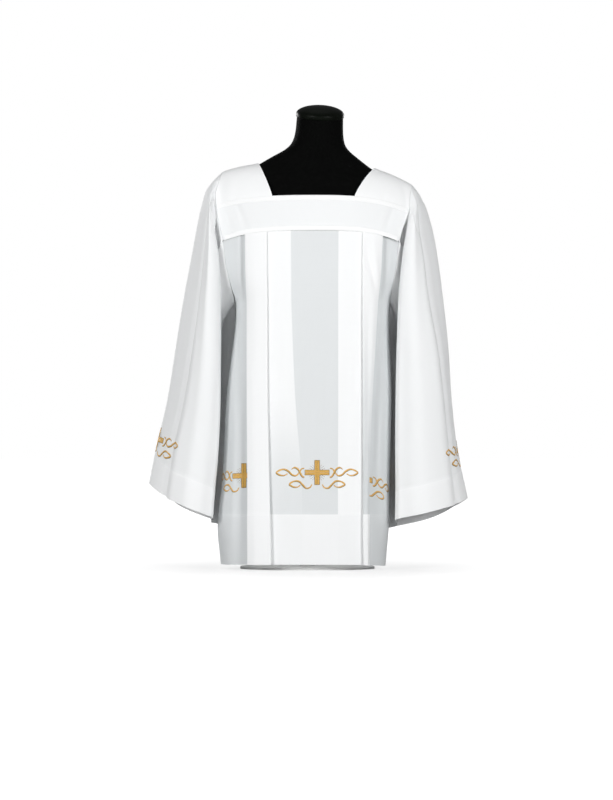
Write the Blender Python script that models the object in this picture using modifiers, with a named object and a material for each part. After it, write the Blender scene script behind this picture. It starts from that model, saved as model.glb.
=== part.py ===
"""A pleated white surplice with wide sleeves, worn by a black dress form on a low stand.

Metres, +Z up, the front faces -Y, and the origin is under the middle of the stand's base.
Left and right are the wearer's, so the wearer's right is at -X.
"""

import math
from collections import namedtuple

import bpy
from mathutils import Vector

# Cloth
WALL = 0.0010
SEAM_GAP = 0.0004
HEM_WALL = 0.0018
TAPE_WIDTH = 0.0100
TAPE_WALL = 0.0010
TAPE_CLEARANCE = 0.0004
TAPE_END = 0.0035

# The garment hangs from the shoulders of a form that leans, so its middle line is beside the stand's.
MIDDLE_X = 0.016

# The yoke lies on an arch over the shoulders: half ellipses that stand on this level.
ARCH_FOOT = 0.700
ARCH_FRONT_DEPTH = 0.1150
ARCH_BACK_DEPTH = 0.1180
ARCH_HALF_WIDTH = 0.262

# Seams around the yoke: the height at the middle, and how far the ends hang lower.
SeamLine = namedtuple("SeamLine", "height drop_right drop_left power")
FRONT_NECK_SEAM = SeamLine(0.8385, 0.0185, 0.0290, 3.1)
FRONT_YOKE_SEAM = SeamLine(0.7590, 0.0300, 0.0360, 3.5)
BACK_NECK_SEAM = SeamLine(0.8660, 0.0300, 0.0400, 3.1)
BACK_YOKE_SEAM = SeamLine(0.7900, 0.0330, 0.0390, 3.5)

# The ridge of the cloth over each shoulder, from the middle outwards.
Ridge = namedtuple("Ridge", "across height")
RIDGE_RIGHT = (
    Ridge(0.000, 0.945),
    Ridge(0.060, 0.939),
    Ridge(0.127, 0.9165),
    Ridge(0.170, 0.908),
    Ridge(0.208, 0.896),
    Ridge(0.240, 0.872),
)
RIDGE_LEFT = (
    Ridge(0.000, 0.945),
    Ridge(0.060, 0.935),
    Ridge(0.136, 0.9055),
    Ridge(0.180, 0.888),
    Ridge(0.2216, 0.866),
    Ridge(0.245, 0.842),
)

# The edges of a shoulder piece: its distance from the middle at the front seam, the ridge and the back seam.
PieceEdges = namedtuple("PieceEdges", "front ridge back")
NECK_RIGHT = PieceEdges(0.0945, 0.1270, 0.1080)
NECK_LEFT = PieceEdges(0.0890, 0.1360, 0.1080)
ARMHOLE_RIGHT = PieceEdges(0.2240, 0.2080, 0.2200)
ARMHOLE_LEFT = PieceEdges(0.2126, 0.2216, 0.2120)
YOKE_END_RIGHT = 0.2036
YOKE_END_LEFT = 0.1870

# The body panels, level by level. Each level is a rounded section with the cloth folded in layers on it:
# depth of the section at its middle, how square it is, and the distance from layer to layer in the pleats.
Level = namedtuple("Level", "height depth squareness pitch")
FRONT_LEVELS = (
    Level(0.744, 0.1130, 2.2, 0.0018),
    Level(0.660, 0.1185, 2.5, 0.0023),
    Level(0.597, 0.1200, 2.8, 0.0026),
    Level(0.383, 0.1210, 3.0, 0.0034),
    Level(0.203, 0.1220, 3.0, 0.0042),
    Level(0.097, 0.1225, 3.0, 0.0047),
    Level(0.014, 0.1225, 3.0, 0.0050),
)
BACK_LEVELS = (
    Level(0.775, 0.1170, 2.2, 0.0018),
    Level(0.660, 0.1195, 2.5, 0.0023),
    Level(0.597, 0.1190, 2.8, 0.0026),
    Level(0.383, 0.1190, 3.0, 0.0034),
    Level(0.203, 0.1210, 3.0, 0.0042),
    Level(0.097, 0.1220, 3.0, 0.0047),
    Level(0.014, 0.1220, 3.0, 0.0050),
)
# Each side of a panel has one raised pleat. From the middle outwards: where the deep inlay turns behind the
# middle face, the pleat's inner edge, where the middle face turns under the pleat, the pleat's outer edge, the
# half width of the section, the share of it at which the cloth ends (1 is the side seam), and how much lower
# the cloth is there.
Side = namedtuple("Side", "height inlay inner tuck outer width edge drop")
FRONT_RIGHT = (
    Side(0.744, 0.0530, 0.1065, 0.1310, 0.1565, 0.2540, 0.8016, 0.0150),
    Side(0.660, 0.0525, 0.1060, 0.1310, 0.1560, 0.2120, 0.9000, 0.0060),
    Side(0.597, 0.0520, 0.1055, 0.1300, 0.1550, 0.1800, 1.0000, 0.0000),
    Side(0.383, 0.0430, 0.1045, 0.1290, 0.1535, 0.1990, 1.0000, 0.0000),
    Side(0.203, 0.0290, 0.1010, 0.1270, 0.1520, 0.2080, 1.0000, 0.0000),
    Side(0.097, 0.0280, 0.0985, 0.1260, 0.1520, 0.2185, 1.0000, 0.0000),
    Side(0.014, 0.0270, 0.0968, 0.1250, 0.1520, 0.2110, 1.0000, 0.0030),
)
FRONT_LEFT = (
    Side(0.744, 0.0535, 0.1070, 0.1300, 0.1540, 0.2380, 0.7857, 0.0210),
    Side(0.660, 0.0530, 0.1070, 0.1290, 0.1500, 0.1980, 0.8900, 0.0080),
    Side(0.597, 0.0530, 0.1070, 0.1270, 0.1450, 0.1700, 1.0000, 0.0000),
    Side(0.383, 0.0530, 0.1080, 0.1200, 0.1310, 0.1740, 1.0000, 0.0000),
    Side(0.203, 0.0525, 0.1090, 0.1170, 0.1250, 0.1690, 1.0000, 0.0000),
    Side(0.097, 0.0525, 0.1090, 0.1170, 0.1250, 0.1676, 1.0000, 0.0000),
    Side(0.014, 0.0520, 0.1100, 0.1175, 0.1250, 0.1600, 1.0000, 0.0060),
)
BACK_RIGHT = (
    Side(0.775, 0.0530, 0.1060, 0.1300, 0.1540, 0.2540, 0.8016, 0.0180),
    Side(0.660, 0.0520, 0.1060, 0.1300, 0.1540, 0.2120, 0.9000, 0.0060),
    Side(0.597, 0.0510, 0.1060, 0.1295, 0.1530, 0.1800, 1.0000, 0.0000),
    Side(0.383, 0.0470, 0.1050, 0.1285, 0.1520, 0.1990, 1.0000, 0.0000),
    Side(0.203, 0.0420, 0.1040, 0.1275, 0.1510, 0.2080, 1.0000, 0.0000),
    Side(0.097, 0.0400, 0.1035, 0.1270, 0.1510, 0.2185, 1.0000, 0.0000),
    Side(0.014, 0.0390, 0.1030, 0.1270, 0.1510, 0.2110, 1.0000, 0.0030),
)
BACK_LEFT = (
    Side(0.775, 0.0530, 0.1060, 0.1290, 0.1520, 0.2380, 0.7857, 0.0230),
    Side(0.660, 0.0520, 0.1060, 0.1280, 0.1500, 0.1980, 0.8900, 0.0080),
    Side(0.597, 0.0510, 0.1060, 0.1250, 0.1440, 0.1700, 1.0000, 0.0000),
    Side(0.383, 0.0470, 0.1050, 0.1225, 0.1400, 0.1740, 1.0000, 0.0000),
    Side(0.203, 0.0420, 0.1040, 0.1200, 0.1360, 0.1690, 1.0000, 0.0000),
    Side(0.097, 0.0400, 0.1035, 0.1190, 0.1350, 0.1676, 1.0000, 0.0000),
    Side(0.014, 0.0390, 0.1030, 0.1185, 0.1340, 0.1600, 1.0000, 0.0060),
)
SIDE_LAYER = 4
UNDERARM_LEVEL = 0.597
PANEL_HEIGHTS = (0.744, 0.700, 0.650, 0.597, 0.530, 0.430, 0.320, 0.210, 0.102, 0.058, 0.014)
# The front and the back are each made in two lengths, the panel and below it the skirt, so that each stays simple.
SKIRT_FROM = 0.320
SKIRT_GAP = 0.0003

# A sleeve hangs as a tube with a soft valley in front and behind. Distances across are from the garment's
# middle: the outer edge, the valley, the middle of the front face, its inner corner, and the inner wall.
Tube = namedtuple("Tube", "height outer valley face corner wall back_corner valley_depth face_depth")
SLEEVE_RIGHT = (
    Tube(0.865, 0.2430, 0.2360, 0.2320, 0.2270, 0.2270, 0.2270, 0.0420, 0.0500),
    Tube(0.800, 0.2600, 0.2400, 0.2360, 0.2290, 0.2290, 0.2290, 0.0550, 0.0740),
    Tube(0.700, 0.2790, 0.2490, 0.2370, 0.2175, 0.2160, 0.2150, 0.0620, 0.0920),
    Tube(0.608, 0.2960, 0.2600, 0.2420, 0.2160, 0.2110, 0.1900, 0.0640, 0.0960),
    Tube(0.496, 0.3140, 0.2760, 0.2480, 0.2155, 0.2110, 0.1830, 0.0620, 0.0970),
    Tube(0.383, 0.3320, 0.2940, 0.2560, 0.2155, 0.2140, 0.1870, 0.0600, 0.0980),
    Tube(0.270, 0.3580, 0.3180, 0.2700, 0.2200, 0.2220, 0.1950, 0.0580, 0.0980),
    Tube(0.160, 0.3790, 0.3340, 0.2850, 0.2310, 0.2300, 0.2040, 0.0570, 0.0980),
    Tube(0.090, 0.3860, 0.3400, 0.2900, 0.2370, 0.2340, 0.2110, 0.0570, 0.0980),
)
SLEEVE_LEFT = (
    Tube(0.833, 0.2470, 0.2330, 0.2260, 0.2160, 0.2160, 0.2170, 0.0450, 0.0560),
    Tube(0.770, 0.2660, 0.2370, 0.2240, 0.2080, 0.2090, 0.2100, 0.0580, 0.0800),
    Tube(0.700, 0.2790, 0.2480, 0.2240, 0.1990, 0.2000, 0.2005, 0.0620, 0.0920),
    Tube(0.608, 0.2910, 0.2600, 0.2280, 0.1930, 0.1900, 0.1820, 0.0640, 0.0960),
    Tube(0.496, 0.3030, 0.2800, 0.2380, 0.1895, 0.1870, 0.1670, 0.0620, 0.0970),
    Tube(0.383, 0.3100, 0.2930, 0.2450, 0.1885, 0.1850, 0.1640, 0.0600, 0.0980),
    Tube(0.270, 0.3230, 0.3040, 0.2500, 0.1885, 0.1850, 0.1630, 0.0580, 0.0980),
    Tube(0.160, 0.3460, 0.3160, 0.2560, 0.1900, 0.1860, 0.1620, 0.0570, 0.0980),
    Tube(0.090, 0.3560, 0.3230, 0.2600, 0.1890, 0.1860, 0.1620, 0.0570, 0.0980),
)
# How high the sleeve's hem is at those places, in the same order around the tube.
CuffHeights = namedtuple(
    "CuffHeights", "outer valley face corner wall_front wall wall_back back_corner back_face back_valley"
)
CUFF_RIGHT = CuffHeights(0.192, 0.163, 0.142, 0.121, 0.112, 0.107, 0.102, 0.100, 0.128, 0.160)
CUFF_LEFT = CuffHeights(0.159, 0.147, 0.131, 0.116, 0.106, 0.100, 0.094, 0.088, 0.108, 0.138)
# The shares of the way round a sleeve at which those places lie, from the shoulder ridge to the front and round.
AROUND = (0.0, 0.07, 0.13, 0.20, 0.42, 0.50, 0.58, 0.80, 0.87, 0.93, 1.0)
SLEEVE_COLUMNS = (0.0, 0.035, 0.07, 0.10, 0.13, 0.165, 0.20, 0.25, 0.31, 0.37, 0.42, 0.46, 0.50)
# The shares of a sleeve's length over which the cloth turns from the seam into the hanging tube.
TURN_AT_SHOULDER = 0.07
TURN_AT_UNDERARM = 0.16
SLEEVE_ROWS = (0.0, 0.015, 0.034, 0.055, 0.09, 0.14, 0.20, 0.28, 0.40, 0.55, 0.70, 0.83, 0.915, 1.0)

# The dress form, in its own upright frame above the top of the post: height, half width, half depth,
# how square the section is, and how far forward and to the wearer's right its middle is.
Ring = namedtuple("Ring", "height half_width half_depth squareness forward sideways")
FORM_RINGS = (
    Ring(0.250, 0.1350, 0.0800, 2.3, 0.000, 0.0000),
    Ring(0.258, 0.1460, 0.0880, 2.4, 0.000, 0.0000),
    Ring(0.330, 0.1520, 0.0940, 2.4, 0.000, 0.0000),
    Ring(0.400, 0.1470, 0.0910, 2.4, 0.000, 0.0000),
    Ring(0.470, 0.1410, 0.0870, 2.4, 0.000, 0.0000),
    Ring(0.540, 0.1470, 0.0900, 2.4, 0.000, 0.0000),
    Ring(0.610, 0.1550, 0.0940, 2.4, 0.000, 0.0000),
    Ring(0.670, 0.1630, 0.0950, 2.4, 0.000, 0.0000),
    Ring(0.740, 0.1780, 0.0930, 2.4, 0.000, 0.0000),
    Ring(0.800, 0.1910, 0.0880, 2.3, 0.000, 0.0000),
    Ring(0.840, 0.1940, 0.0810, 2.3, 0.000, 0.0010),
    Ring(0.862, 0.1880, 0.0740, 2.2, 0.000, 0.0030),
    Ring(0.882, 0.1710, 0.0690, 2.1, 0.000, 0.0055),
    Ring(0.896, 0.1500, 0.0630, 2.0, 0.000, 0.0075),
    Ring(0.908, 0.1285, 0.0570, 2.0, 0.001, 0.0080),
    Ring(0.919, 0.1120, 0.0570, 2.0, 0.001, 0.0075),
    Ring(0.930, 0.0955, 0.0590, 2.0, 0.002, 0.0060),
    Ring(0.944, 0.0745, 0.0600, 2.0, 0.004, 0.0035),
    Ring(0.958, 0.0615, 0.0590, 2.0, 0.006, 0.0025),
    Ring(0.980, 0.0548, 0.0570, 2.0, 0.009, 0.0015),
    Ring(1.0205, 0.0522, 0.0550, 2.0, 0.011, 0.0010),
)
FORM_SIDES = 32
FORM_LEAN = math.radians(2.2)
LEAN_LEVEL = 0.250

NECK_FOOT = 0.950
NECK_TILT_FORWARD = math.radians(13)
NECK_CUT_MIDDLE = Vector((-0.001, -0.011, 1.0205))
CAP_RADIUS = 0.0543
CAP_RIM = 0.0065
CAP_DOME = 0.0195
CAP_DEPTH_STRETCH = 1.06

BASE_RADIUS = 0.092
BASE_STRETCH = 1.65
BASE_HEIGHT = 0.006
BASE_EDGE = 0.0015
POST_RADIUS = 0.017
FLANGE_RADIUS = 0.045
FLANGE_HEIGHT = 0.012
PIECE_GAP = 0.0003
TURNED_STEPS = 48

# Colours and finishes: colour, roughness and metallic value.
Finish = namedtuple("Finish", "colour roughness metallic")
WHITE_CLOTH = Finish((0.86, 0.87, 0.87), 0.85, 0.0)
WHITE_TAPE = Finish((0.92, 0.92, 0.92), 0.80, 0.0)
BLACK_JERSEY = Finish((0.010, 0.010, 0.010), 0.90, 0.0)
BLACK_WOOD = Finish((0.020, 0.023, 0.018), 0.45, 0.0)
WHITE_STEEL = Finish((0.780, 0.780, 0.780), 0.45, 0.3)


def clear_scene():
    for thing in list(bpy.data.objects):
        bpy.data.objects.remove(thing, do_unlink=True)


def material(name, finish):
    made = bpy.data.materials.new(name)
    made.use_nodes = True
    shader = made.node_tree.nodes["Principled BSDF"]
    shader.inputs["Base Color"].default_value = (*finish.colour, 1.0)
    shader.inputs["Roughness"].default_value = finish.roughness
    shader.inputs["Metallic"].default_value = finish.metallic
    return made


def link(obj, collection, parent, finish):
    collection.objects.link(obj)
    obj.parent = parent
    obj.data.materials.append(finish)
    return obj


# Reading the tables


def read(rows, at):
    """The row of a table at any value of its first column: a smooth curve through every column."""
    rows = sorted(rows)
    keys = [row[0] for row in rows]
    at = min(max(at, keys[0]), keys[-1])
    i = max(k for k in range(len(rows) - 1) if keys[k] <= at)
    span = keys[i + 1] - keys[i]
    t = (at - keys[i]) / span
    values = []
    for column in range(len(rows[0])):
        before, after = rows[i][column], rows[i + 1][column]

        def slope(k):
            low, high = max(k - 1, 0), min(k + 1, len(rows) - 1)
            return (rows[high][column] - rows[low][column]) / (keys[high] - keys[low])

        values.append(
            (2 * t**3 - 3 * t**2 + 1) * before
            + (t**3 - 2 * t**2 + t) * span * slope(i)
            + (3 * t**2 - 2 * t**3) * after
            + (t**3 - t**2) * span * slope(i + 1)
        )
    return type(rows[0])(*values)


def mix(a, b, share):
    return a + (b - a) * share


def ease(share):
    share = min(max(share, 0.0), 1.0)
    return share * share * (3 - 2 * share)


def steps(start, end, count):
    """Evenly spaced values between start and end, without either end."""
    return [mix(start, end, (i + 1) / (count + 1)) for i in range(count)]


# Meshes


def grid_mesh(name, rows, round_it):
    """A mesh of triangles through rows of points. round_it joins the last column to the first.

    Each square is cut from its upper point on the -X side or on the +X side, whichever is nearer to the
    middle, so that layers of cloth that lie on each other are cut alike and both sides of a wall are, too.
    """
    columns = len(rows[0])
    points = [tuple(point) for row in rows for point in row]
    faces = []
    for i in range(len(rows) - 1):
        for j in range(columns if round_it else columns - 1):
            here, beside = i * columns + j, i * columns + (j + 1) % columns
            below, opposite = here + columns, beside + columns
            if abs(rows[i][j].x) < abs(rows[i][(j + 1) % columns].x):
                faces += [(here, beside, opposite), (here, opposite, below)]
            else:
                faces += [(here, beside, below), (beside, opposite, below)]
    mesh = bpy.data.meshes.new(name)
    mesh.from_pydata(points, [], faces)
    mesh.update()
    return mesh


def cloth(name, rows, wall, round_it=False, hem_rows=0):
    """An open sheet through rows of points with a wall, which is thicker along the last rows, the turned-up hem."""
    obj = bpy.data.objects.new(name, grid_mesh(name, rows, round_it))
    solidify = obj.modifiers.new("wall", "SOLIDIFY")
    solidify.offset = 0.0
    solidify.thickness = wall
    if hem_rows:
        hem = obj.vertex_groups.new(name="hem")
        columns = len(rows[0])
        first = (len(rows) - hem_rows) * columns
        hem.add(list(range(first, len(rows) * columns)), 1.0, "REPLACE")
        solidify.thickness = HEM_WALL
        solidify.vertex_group = "hem"
        solidify.thickness_vertex_group = wall / HEM_WALL
    for face in obj.data.polygons:
        face.use_smooth = True
    return obj


def turned(name, profile, collection, parent, finish):
    """A solid of revolution: a profile of (radius, height) at +X, top to bottom, round the Z axis."""
    mesh = bpy.data.meshes.new(name)
    points = [(radius, 0.0, height) for radius, height in profile]
    mesh.from_pydata(points, [(i, i + 1) for i in range(len(points) - 1)], [])
    obj = link(bpy.data.objects.new(name, mesh), collection, parent, finish)
    screw = obj.modifiers.new("turn", "SCREW")
    screw.steps = TURNED_STEPS
    screw.render_steps = TURNED_STEPS
    screw.use_merge_vertices = True
    screw.merge_threshold = 0.00005
    screw.use_smooth_shade = True
    return obj


# The arch over the shoulders, on which the yoke lies


def ridge_height(x):
    rows = RIDGE_RIGHT if x < 0 else RIDGE_LEFT
    return read(rows, abs(x)).height


def arch_point(x, angle, lift=0.0):
    """A point of the yoke's surface. angle is 0 on the ridge, negative in front, and a right angle at the foot."""
    depth = ARCH_FRONT_DEPTH if angle < 0 else ARCH_BACK_DEPTH
    depth = depth * math.sqrt(1 - (x / ARCH_HALF_WIDTH) ** 2) + lift
    rise = ridge_height(x) - ARCH_FOOT + lift
    return Vector((x, depth * math.sin(angle), ARCH_FOOT + rise * math.cos(angle)))


def arch_angle(x, height):
    """The angle at which the arch comes down to a height, as a positive number."""
    return math.acos((height - ARCH_FOOT) / (ridge_height(x) - ARCH_FOOT))


def seam_height(seam, x):
    """The height of a seam line, which hangs lower towards its ends."""
    reach, drop = (ARMHOLE_RIGHT.front, seam.drop_right) if x < 0 else (ARMHOLE_LEFT.front, seam.drop_left)
    return seam.height - drop * (abs(x) / reach) ** seam.power


def band_edge(side, height_share, way):
    """How far out a yoke band ends at a share of its height, from its top to its bottom."""
    armhole, bottom = (ARMHOLE_RIGHT, YOKE_END_RIGHT) if side < 0 else (ARMHOLE_LEFT, YOKE_END_LEFT)
    top = armhole.front if way < 0 else armhole.back
    return side * mix(top, bottom, height_share)


def neck_bend(turn):
    """How far the neck edge has come in at a share of the way down: nearly a straight line as seen from the front."""
    return 1 - (1 - turn**1.9) ** 1.12


def shoulder_piece(name, side):
    """A shoulder piece: from the front neck seam over the ridge to the back neck seam."""
    neck, armhole = (NECK_RIGHT, ARMHOLE_RIGHT) if side < 0 else (NECK_LEFT, ARMHOLE_LEFT)
    rows = []
    for turn in (-1.0, -0.82, -0.6, -0.38, -0.18, 0.0, 0.18, 0.38, 0.6, 0.82, 1.0):
        end_neck = neck.front if turn < 0 else neck.back
        end_armhole = armhole.front if turn < 0 else armhole.back
        inner = mix(neck.ridge, end_neck, neck_bend(abs(turn)))
        outer = mix(armhole.ridge, end_armhole, ease(abs(turn)))
        seam = FRONT_NECK_SEAM if turn < 0 else BACK_NECK_SEAM
        row = []
        for share in (0.0, 0.2, 0.4, 0.6, 0.8, 0.93, 1.0):
            x = side * mix(inner, outer, share)
            angle = turn * arch_angle(x, seam_height(seam, x) + SEAM_GAP)
            row.append(arch_point(x, angle))
        rows.append(row)
    return cloth(name, rows, WALL)


def band_shares(count):
    """Shares across a band, closer together near both ends, where it curves round the shoulders."""
    return [math.sin(math.pi * (i / (count - 1) - 0.5)) for i in range(count)]


def yoke_band(name, neck_seam, yoke_seam, way):
    """The straight band under the neckline. way is -1 in front and 1 behind."""
    rows = []
    for share in (0.0, 0.34, 0.67, 1.0):
        row = []
        for across in band_shares(23):
            side = -1 if across < 0 else 1
            x = abs(across) * band_edge(side, share, way)
            top = seam_height(neck_seam, x) - SEAM_GAP
            bottom = seam_height(yoke_seam, x) + SEAM_GAP
            row.append(arch_point(x, way * arch_angle(x, mix(top, bottom, share))))
        rows.append(row)
    return cloth(name, rows, WALL)


def seam_tape(name, seam, width_above, level_share, way):
    """A folded tape sewn along a seam. It lies on the band's points, moved out by both half walls and a gap."""
    lift = (WALL + TAPE_WALL) / 2 + TAPE_CLEARANCE
    rows = []
    for above in (width_above, width_above - TAPE_WIDTH):
        row = []
        for across in band_shares(23):
            side = -1 if across < 0 else 1
            x = abs(across) * (band_edge(side, level_share, way) - side * TAPE_END)
            row.append(arch_point(x, way * arch_angle(x, seam_height(seam, x) + above), lift))
        rows.append(row)
    return cloth(name, rows, TAPE_WALL)


# The pleated panels


def outline(level, side, turn):
    """The pleat's face as a curve: (distance across, depth) for a turn from 0 at the middle to a right angle."""
    width = side.width + SIDE_LAYER * level.pitch
    power = 2 / level.squareness
    return Vector((width * max(math.sin(turn), 0.0) ** power, level.depth * max(math.cos(turn), 0.0) ** power))


def turn_at(level, side, x):
    """The turn at which the outline is this far from the middle."""
    width = side.width + SIDE_LAYER * level.pitch
    return math.asin(min(x / width, 1.0) ** (level.squareness / 2))


def layer_point(level, side, turn, layer, along=0.0):
    """The outline's point moved inwards by a number of layers, and along the curve by a distance."""
    small = 0.0005
    low, high = max(turn - small, 0.0), min(turn + small, math.pi / 2)
    tangent = (outline(level, side, high) - outline(level, side, low)).normalized()
    normal = Vector((-tangent.y, tangent.x))
    return outline(level, side, turn) - normal * layer * level.pitch + tangent * along


def layer_points(level, side, layer, distances):
    """The points of one layer of cloth at the given distances from the middle."""
    return [layer_point(level, side, turn_at(level, side, x), layer) for x in distances]


def pleat_half(level, side):
    """One half of a panel's section, from the middle to the side, as (distance across, depth) pairs.

    The middle face is two layers down. It turns under the pleat, comes back to the pleat's inner edge, and
    crosses over as the pleat's face. Past the outer edge the deep inlay runs back behind the middle face,
    turns, and comes out again as the side.
    """
    fold = level.pitch / 2
    behind = (side.inlay + side.inner) / 2
    inlay, inner, tuck, outer = side.inlay + fold, side.inner + fold, side.tuck - fold, side.outer - fold

    def edge(x, layer, along):
        return [layer_point(level, side, turn_at(level, side, x), layer, along)]

    path = layer_points(level, side, 2, (side.inlay / 2, side.inlay, behind, side.inner, tuck))
    path += edge(tuck, 1.5, fold)
    path += layer_points(level, side, 1, (tuck, inner))
    path += edge(inner, 0.5, -fold)
    path += layer_points(level, side, 0, (inner, side.tuck, outer))
    path += edge(outer, 1.5, fold)
    path += layer_points(level, side, 3, (outer, side.tuck, side.inner, behind, inlay))
    path += edge(inlay, 3.5, -fold)
    path += layer_points(level, side, SIDE_LAYER, (inlay, behind, side.inner, side.tuck, side.outer))
    start = turn_at(level, side, side.outer)
    end = turn_at(level, side, side.edge * (side.width + SIDE_LAYER * level.pitch))
    for turn in steps(start, end, 4) + [end]:
        path.append(layer_point(level, side, turn, SIDE_LAYER))
    return path


def panel_height(height, side, x, top_line):
    """The cloth's height at a distance across: the level's own, hung lower towards its end."""
    low = height - side.drop * (abs(x) / (side.width * side.edge)) ** 3.5
    if top_line is None:
        return low
    return seam_height(top_line, x) - SEAM_GAP


def pleated_panel(name, levels, rights, lefts, yoke_seam, way):
    """A whole front or back: right half, middle and left half of every level. way is -1 in front and 1 behind.

    It gives two objects, the panel and the skirt.
    """
    rows = []
    highest = levels[0].height
    for height in PANEL_HEIGHTS:
        share = (PANEL_HEIGHTS[0] - height) / (PANEL_HEIGHTS[0] - UNDERARM_LEVEL)
        if share < 1:
            height = mix(highest, UNDERARM_LEVEL, share)
        level = read(levels, height)
        top_line = yoke_seam if height == highest else None
        halves = []
        for direction, table in ((-1, rights), (1, lefts)):
            side = read(table, height)
            halves.append(
                [
                    Vector((direction * x, way * max(y, SEAM_GAP), panel_height(height, side, direction * x, top_line)))
                    for x, y in pleat_half(level, side)
                ]
            )
        face = level.depth - 2 * level.pitch
        middle = Vector((0.0, way * face, panel_height(height, read(rights, height), 0.0, top_line)))
        rows.append(halves[0][::-1] + [middle] + halves[1])
    last = PANEL_HEIGHTS.index(SKIRT_FROM)
    skirt = [[point - Vector((0.0, 0.0, SKIRT_GAP)) for point in rows[last]]] + rows[last + 1 :]
    return cloth(f"{name}_panel", rows[: last + 1], WALL), cloth(f"{name}_skirt", skirt, WALL, hem_rows=3)


# The sleeves


def armhole_point(side, share):
    """A point of the armhole seam. share runs from the ridge (0) down the front to the underarm (0.5) and up the back."""
    front = share <= 0.5
    down = share if front else 1 - share
    way = -1 if front else 1
    armhole = ARMHOLE_RIGHT if side < 0 else ARMHOLE_LEFT
    neck_seam, yoke_seam = (FRONT_NECK_SEAM, FRONT_YOKE_SEAM) if front else (BACK_NECK_SEAM, BACK_YOKE_SEAM)
    neck_share, yoke_share = 0.20, 0.31
    if down <= neck_share:
        turn = down / neck_share
        x = side * mix(armhole.ridge, armhole.front if front else armhole.back, ease(turn))
        return arch_point(x, way * turn * arch_angle(x, seam_height(neck_seam, x)))
    if down <= yoke_share:
        share_down = (down - neck_share) / (yoke_share - neck_share)
        x = band_edge(side, share_down, way)
        height = mix(seam_height(neck_seam, x), seam_height(yoke_seam, x), share_down)
        return arch_point(x, way * arch_angle(x, height))
    levels, rights, lefts = (
        (FRONT_LEVELS, FRONT_RIGHT, FRONT_LEFT) if front else (BACK_LEVELS, BACK_RIGHT, BACK_LEFT)
    )
    share_down = (down - yoke_share) / (0.5 - yoke_share)
    height = mix(levels[0].height, UNDERARM_LEVEL, share_down)
    table = read(rights if side < 0 else lefts, height)
    x, y = pleat_half(read(levels, height), table)[-1]
    x, first_band = side * x, (PANEL_HEIGHTS[0] - PANEL_HEIGHTS[1]) / (PANEL_HEIGHTS[0] - UNDERARM_LEVEL)
    height = mix(seam_height(yoke_seam, x), panel_height(height, table, x, None), min(share_down / first_band, 1.0))
    return Vector((x, way * y, height))


def around(share, values):
    """A smooth closed reading of one value for each place of AROUND, at a share of the way round."""
    i = max(k for k in range(len(AROUND) - 1) if AROUND[k] <= min(share, 0.9999))
    count = len(values)

    def value(k):
        return values[k % count]

    def place(k):
        return AROUND[k % count] + (k // count)

    def slope(k):
        return (value(k + 1) - value(k - 1)) / (place(k + 1) - place(k - 1))

    span = AROUND[i + 1] - AROUND[i]
    t = (share - AROUND[i]) / span
    return (
        (2 * t**3 - 3 * t**2 + 1) * value(i)
        + (t**3 - 2 * t**2 + t) * span * slope(i)
        + (3 * t**2 - 2 * t**3) * value(i + 1)
        + (t**3 - t**2) * span * slope(i + 1)
    )


def tube_point(table, share, height):
    """Where the hanging sleeve is at a share of the way round and a height: distance across, and depth."""
    row = read(table, height)
    out = (
        row.outer,
        row.valley,
        row.face,
        row.corner,
        row.wall,
        row.wall,
        row.wall,
        row.back_corner,
        row.face,
        row.valley,
    )
    depth = (
        0.0,
        -row.valley_depth,
        -row.face_depth,
        -row.face_depth * 0.88,
        -row.face_depth * 0.42,
        0.004,
        row.face_depth * 0.42,
        row.face_depth * 0.86,
        row.face_depth * 0.98,
        row.valley_depth,
    )
    return around(share, out), around(share, depth)


def sleeve(name, side):
    """A wide sleeve: each warp line leaves the armhole seam, turns over and hangs to the slanting hem."""
    table, cuff = (SLEEVE_RIGHT, CUFF_RIGHT) if side < 0 else (SLEEVE_LEFT, CUFF_LEFT)
    columns = list(SLEEVE_COLUMNS) + [1 - share for share in SLEEVE_COLUMNS[-2:0:-1]]
    outward = Vector((side * (WALL + SEAM_GAP + 0.0006), 0.0, 0.0))
    rows = []
    for down in SLEEVE_ROWS:
        row = []
        for share in columns:
            start = armhole_point(side, share) + outward
            end = around(share, cuff)
            height = mix(start.z, end, down)
            out, depth = tube_point(table, share, height)
            turn = mix(TURN_AT_SHOULDER, TURN_AT_UNDERARM, ease(2 * min(share, 1 - share)))
            turned_over = math.sin(min(down / turn, 1.0) * math.pi / 2)
            row.append(Vector((mix(start.x, side * out, turned_over), mix(start.y, depth, turned_over), height)))
        rows.append(row)
    return cloth(name, rows, WALL, round_it=True, hem_rows=3)


# The dress form


def form_body(collection, parent, finish):
    """The torso and neck: a loft of rounded sections, closed flat at the bottom and on the slanting neck cut."""
    rows = []
    for ring in FORM_RINGS:
        row = []
        for i in range(FORM_SIDES):
            angle = 2 * math.pi * i / FORM_SIDES
            power = 2 / ring.squareness
            x = math.copysign(abs(math.cos(angle)) ** power, math.cos(angle)) * ring.half_width - ring.sideways
            y = math.copysign(abs(math.sin(angle)) ** power, math.sin(angle)) * ring.half_depth - ring.forward
            slant = ease((ring.height - NECK_FOOT) / (NECK_CUT_MIDDLE.z - NECK_FOOT)) * math.tan(NECK_TILT_FORWARD)
            row.append(Vector((x, y, ring.height + slant * (y - NECK_CUT_MIDDLE.y))))
        rows.append(row)
    mesh = grid_mesh("form_torso", rows, True)
    count = len(rows) * FORM_SIDES
    points = [vertex.co.copy() for vertex in mesh.vertices]
    faces = [tuple(face.vertices) for face in mesh.polygons]
    faces.append(tuple(range(FORM_SIDES - 1, -1, -1)))
    faces.append(tuple(range(count - FORM_SIDES, count)))
    closed = bpy.data.meshes.new("form_torso")
    closed.from_pydata(points, [], faces)
    for face in closed.polygons:
        face.use_smooth = True
    return link(bpy.data.objects.new("form_torso", closed), collection, parent, finish)


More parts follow.
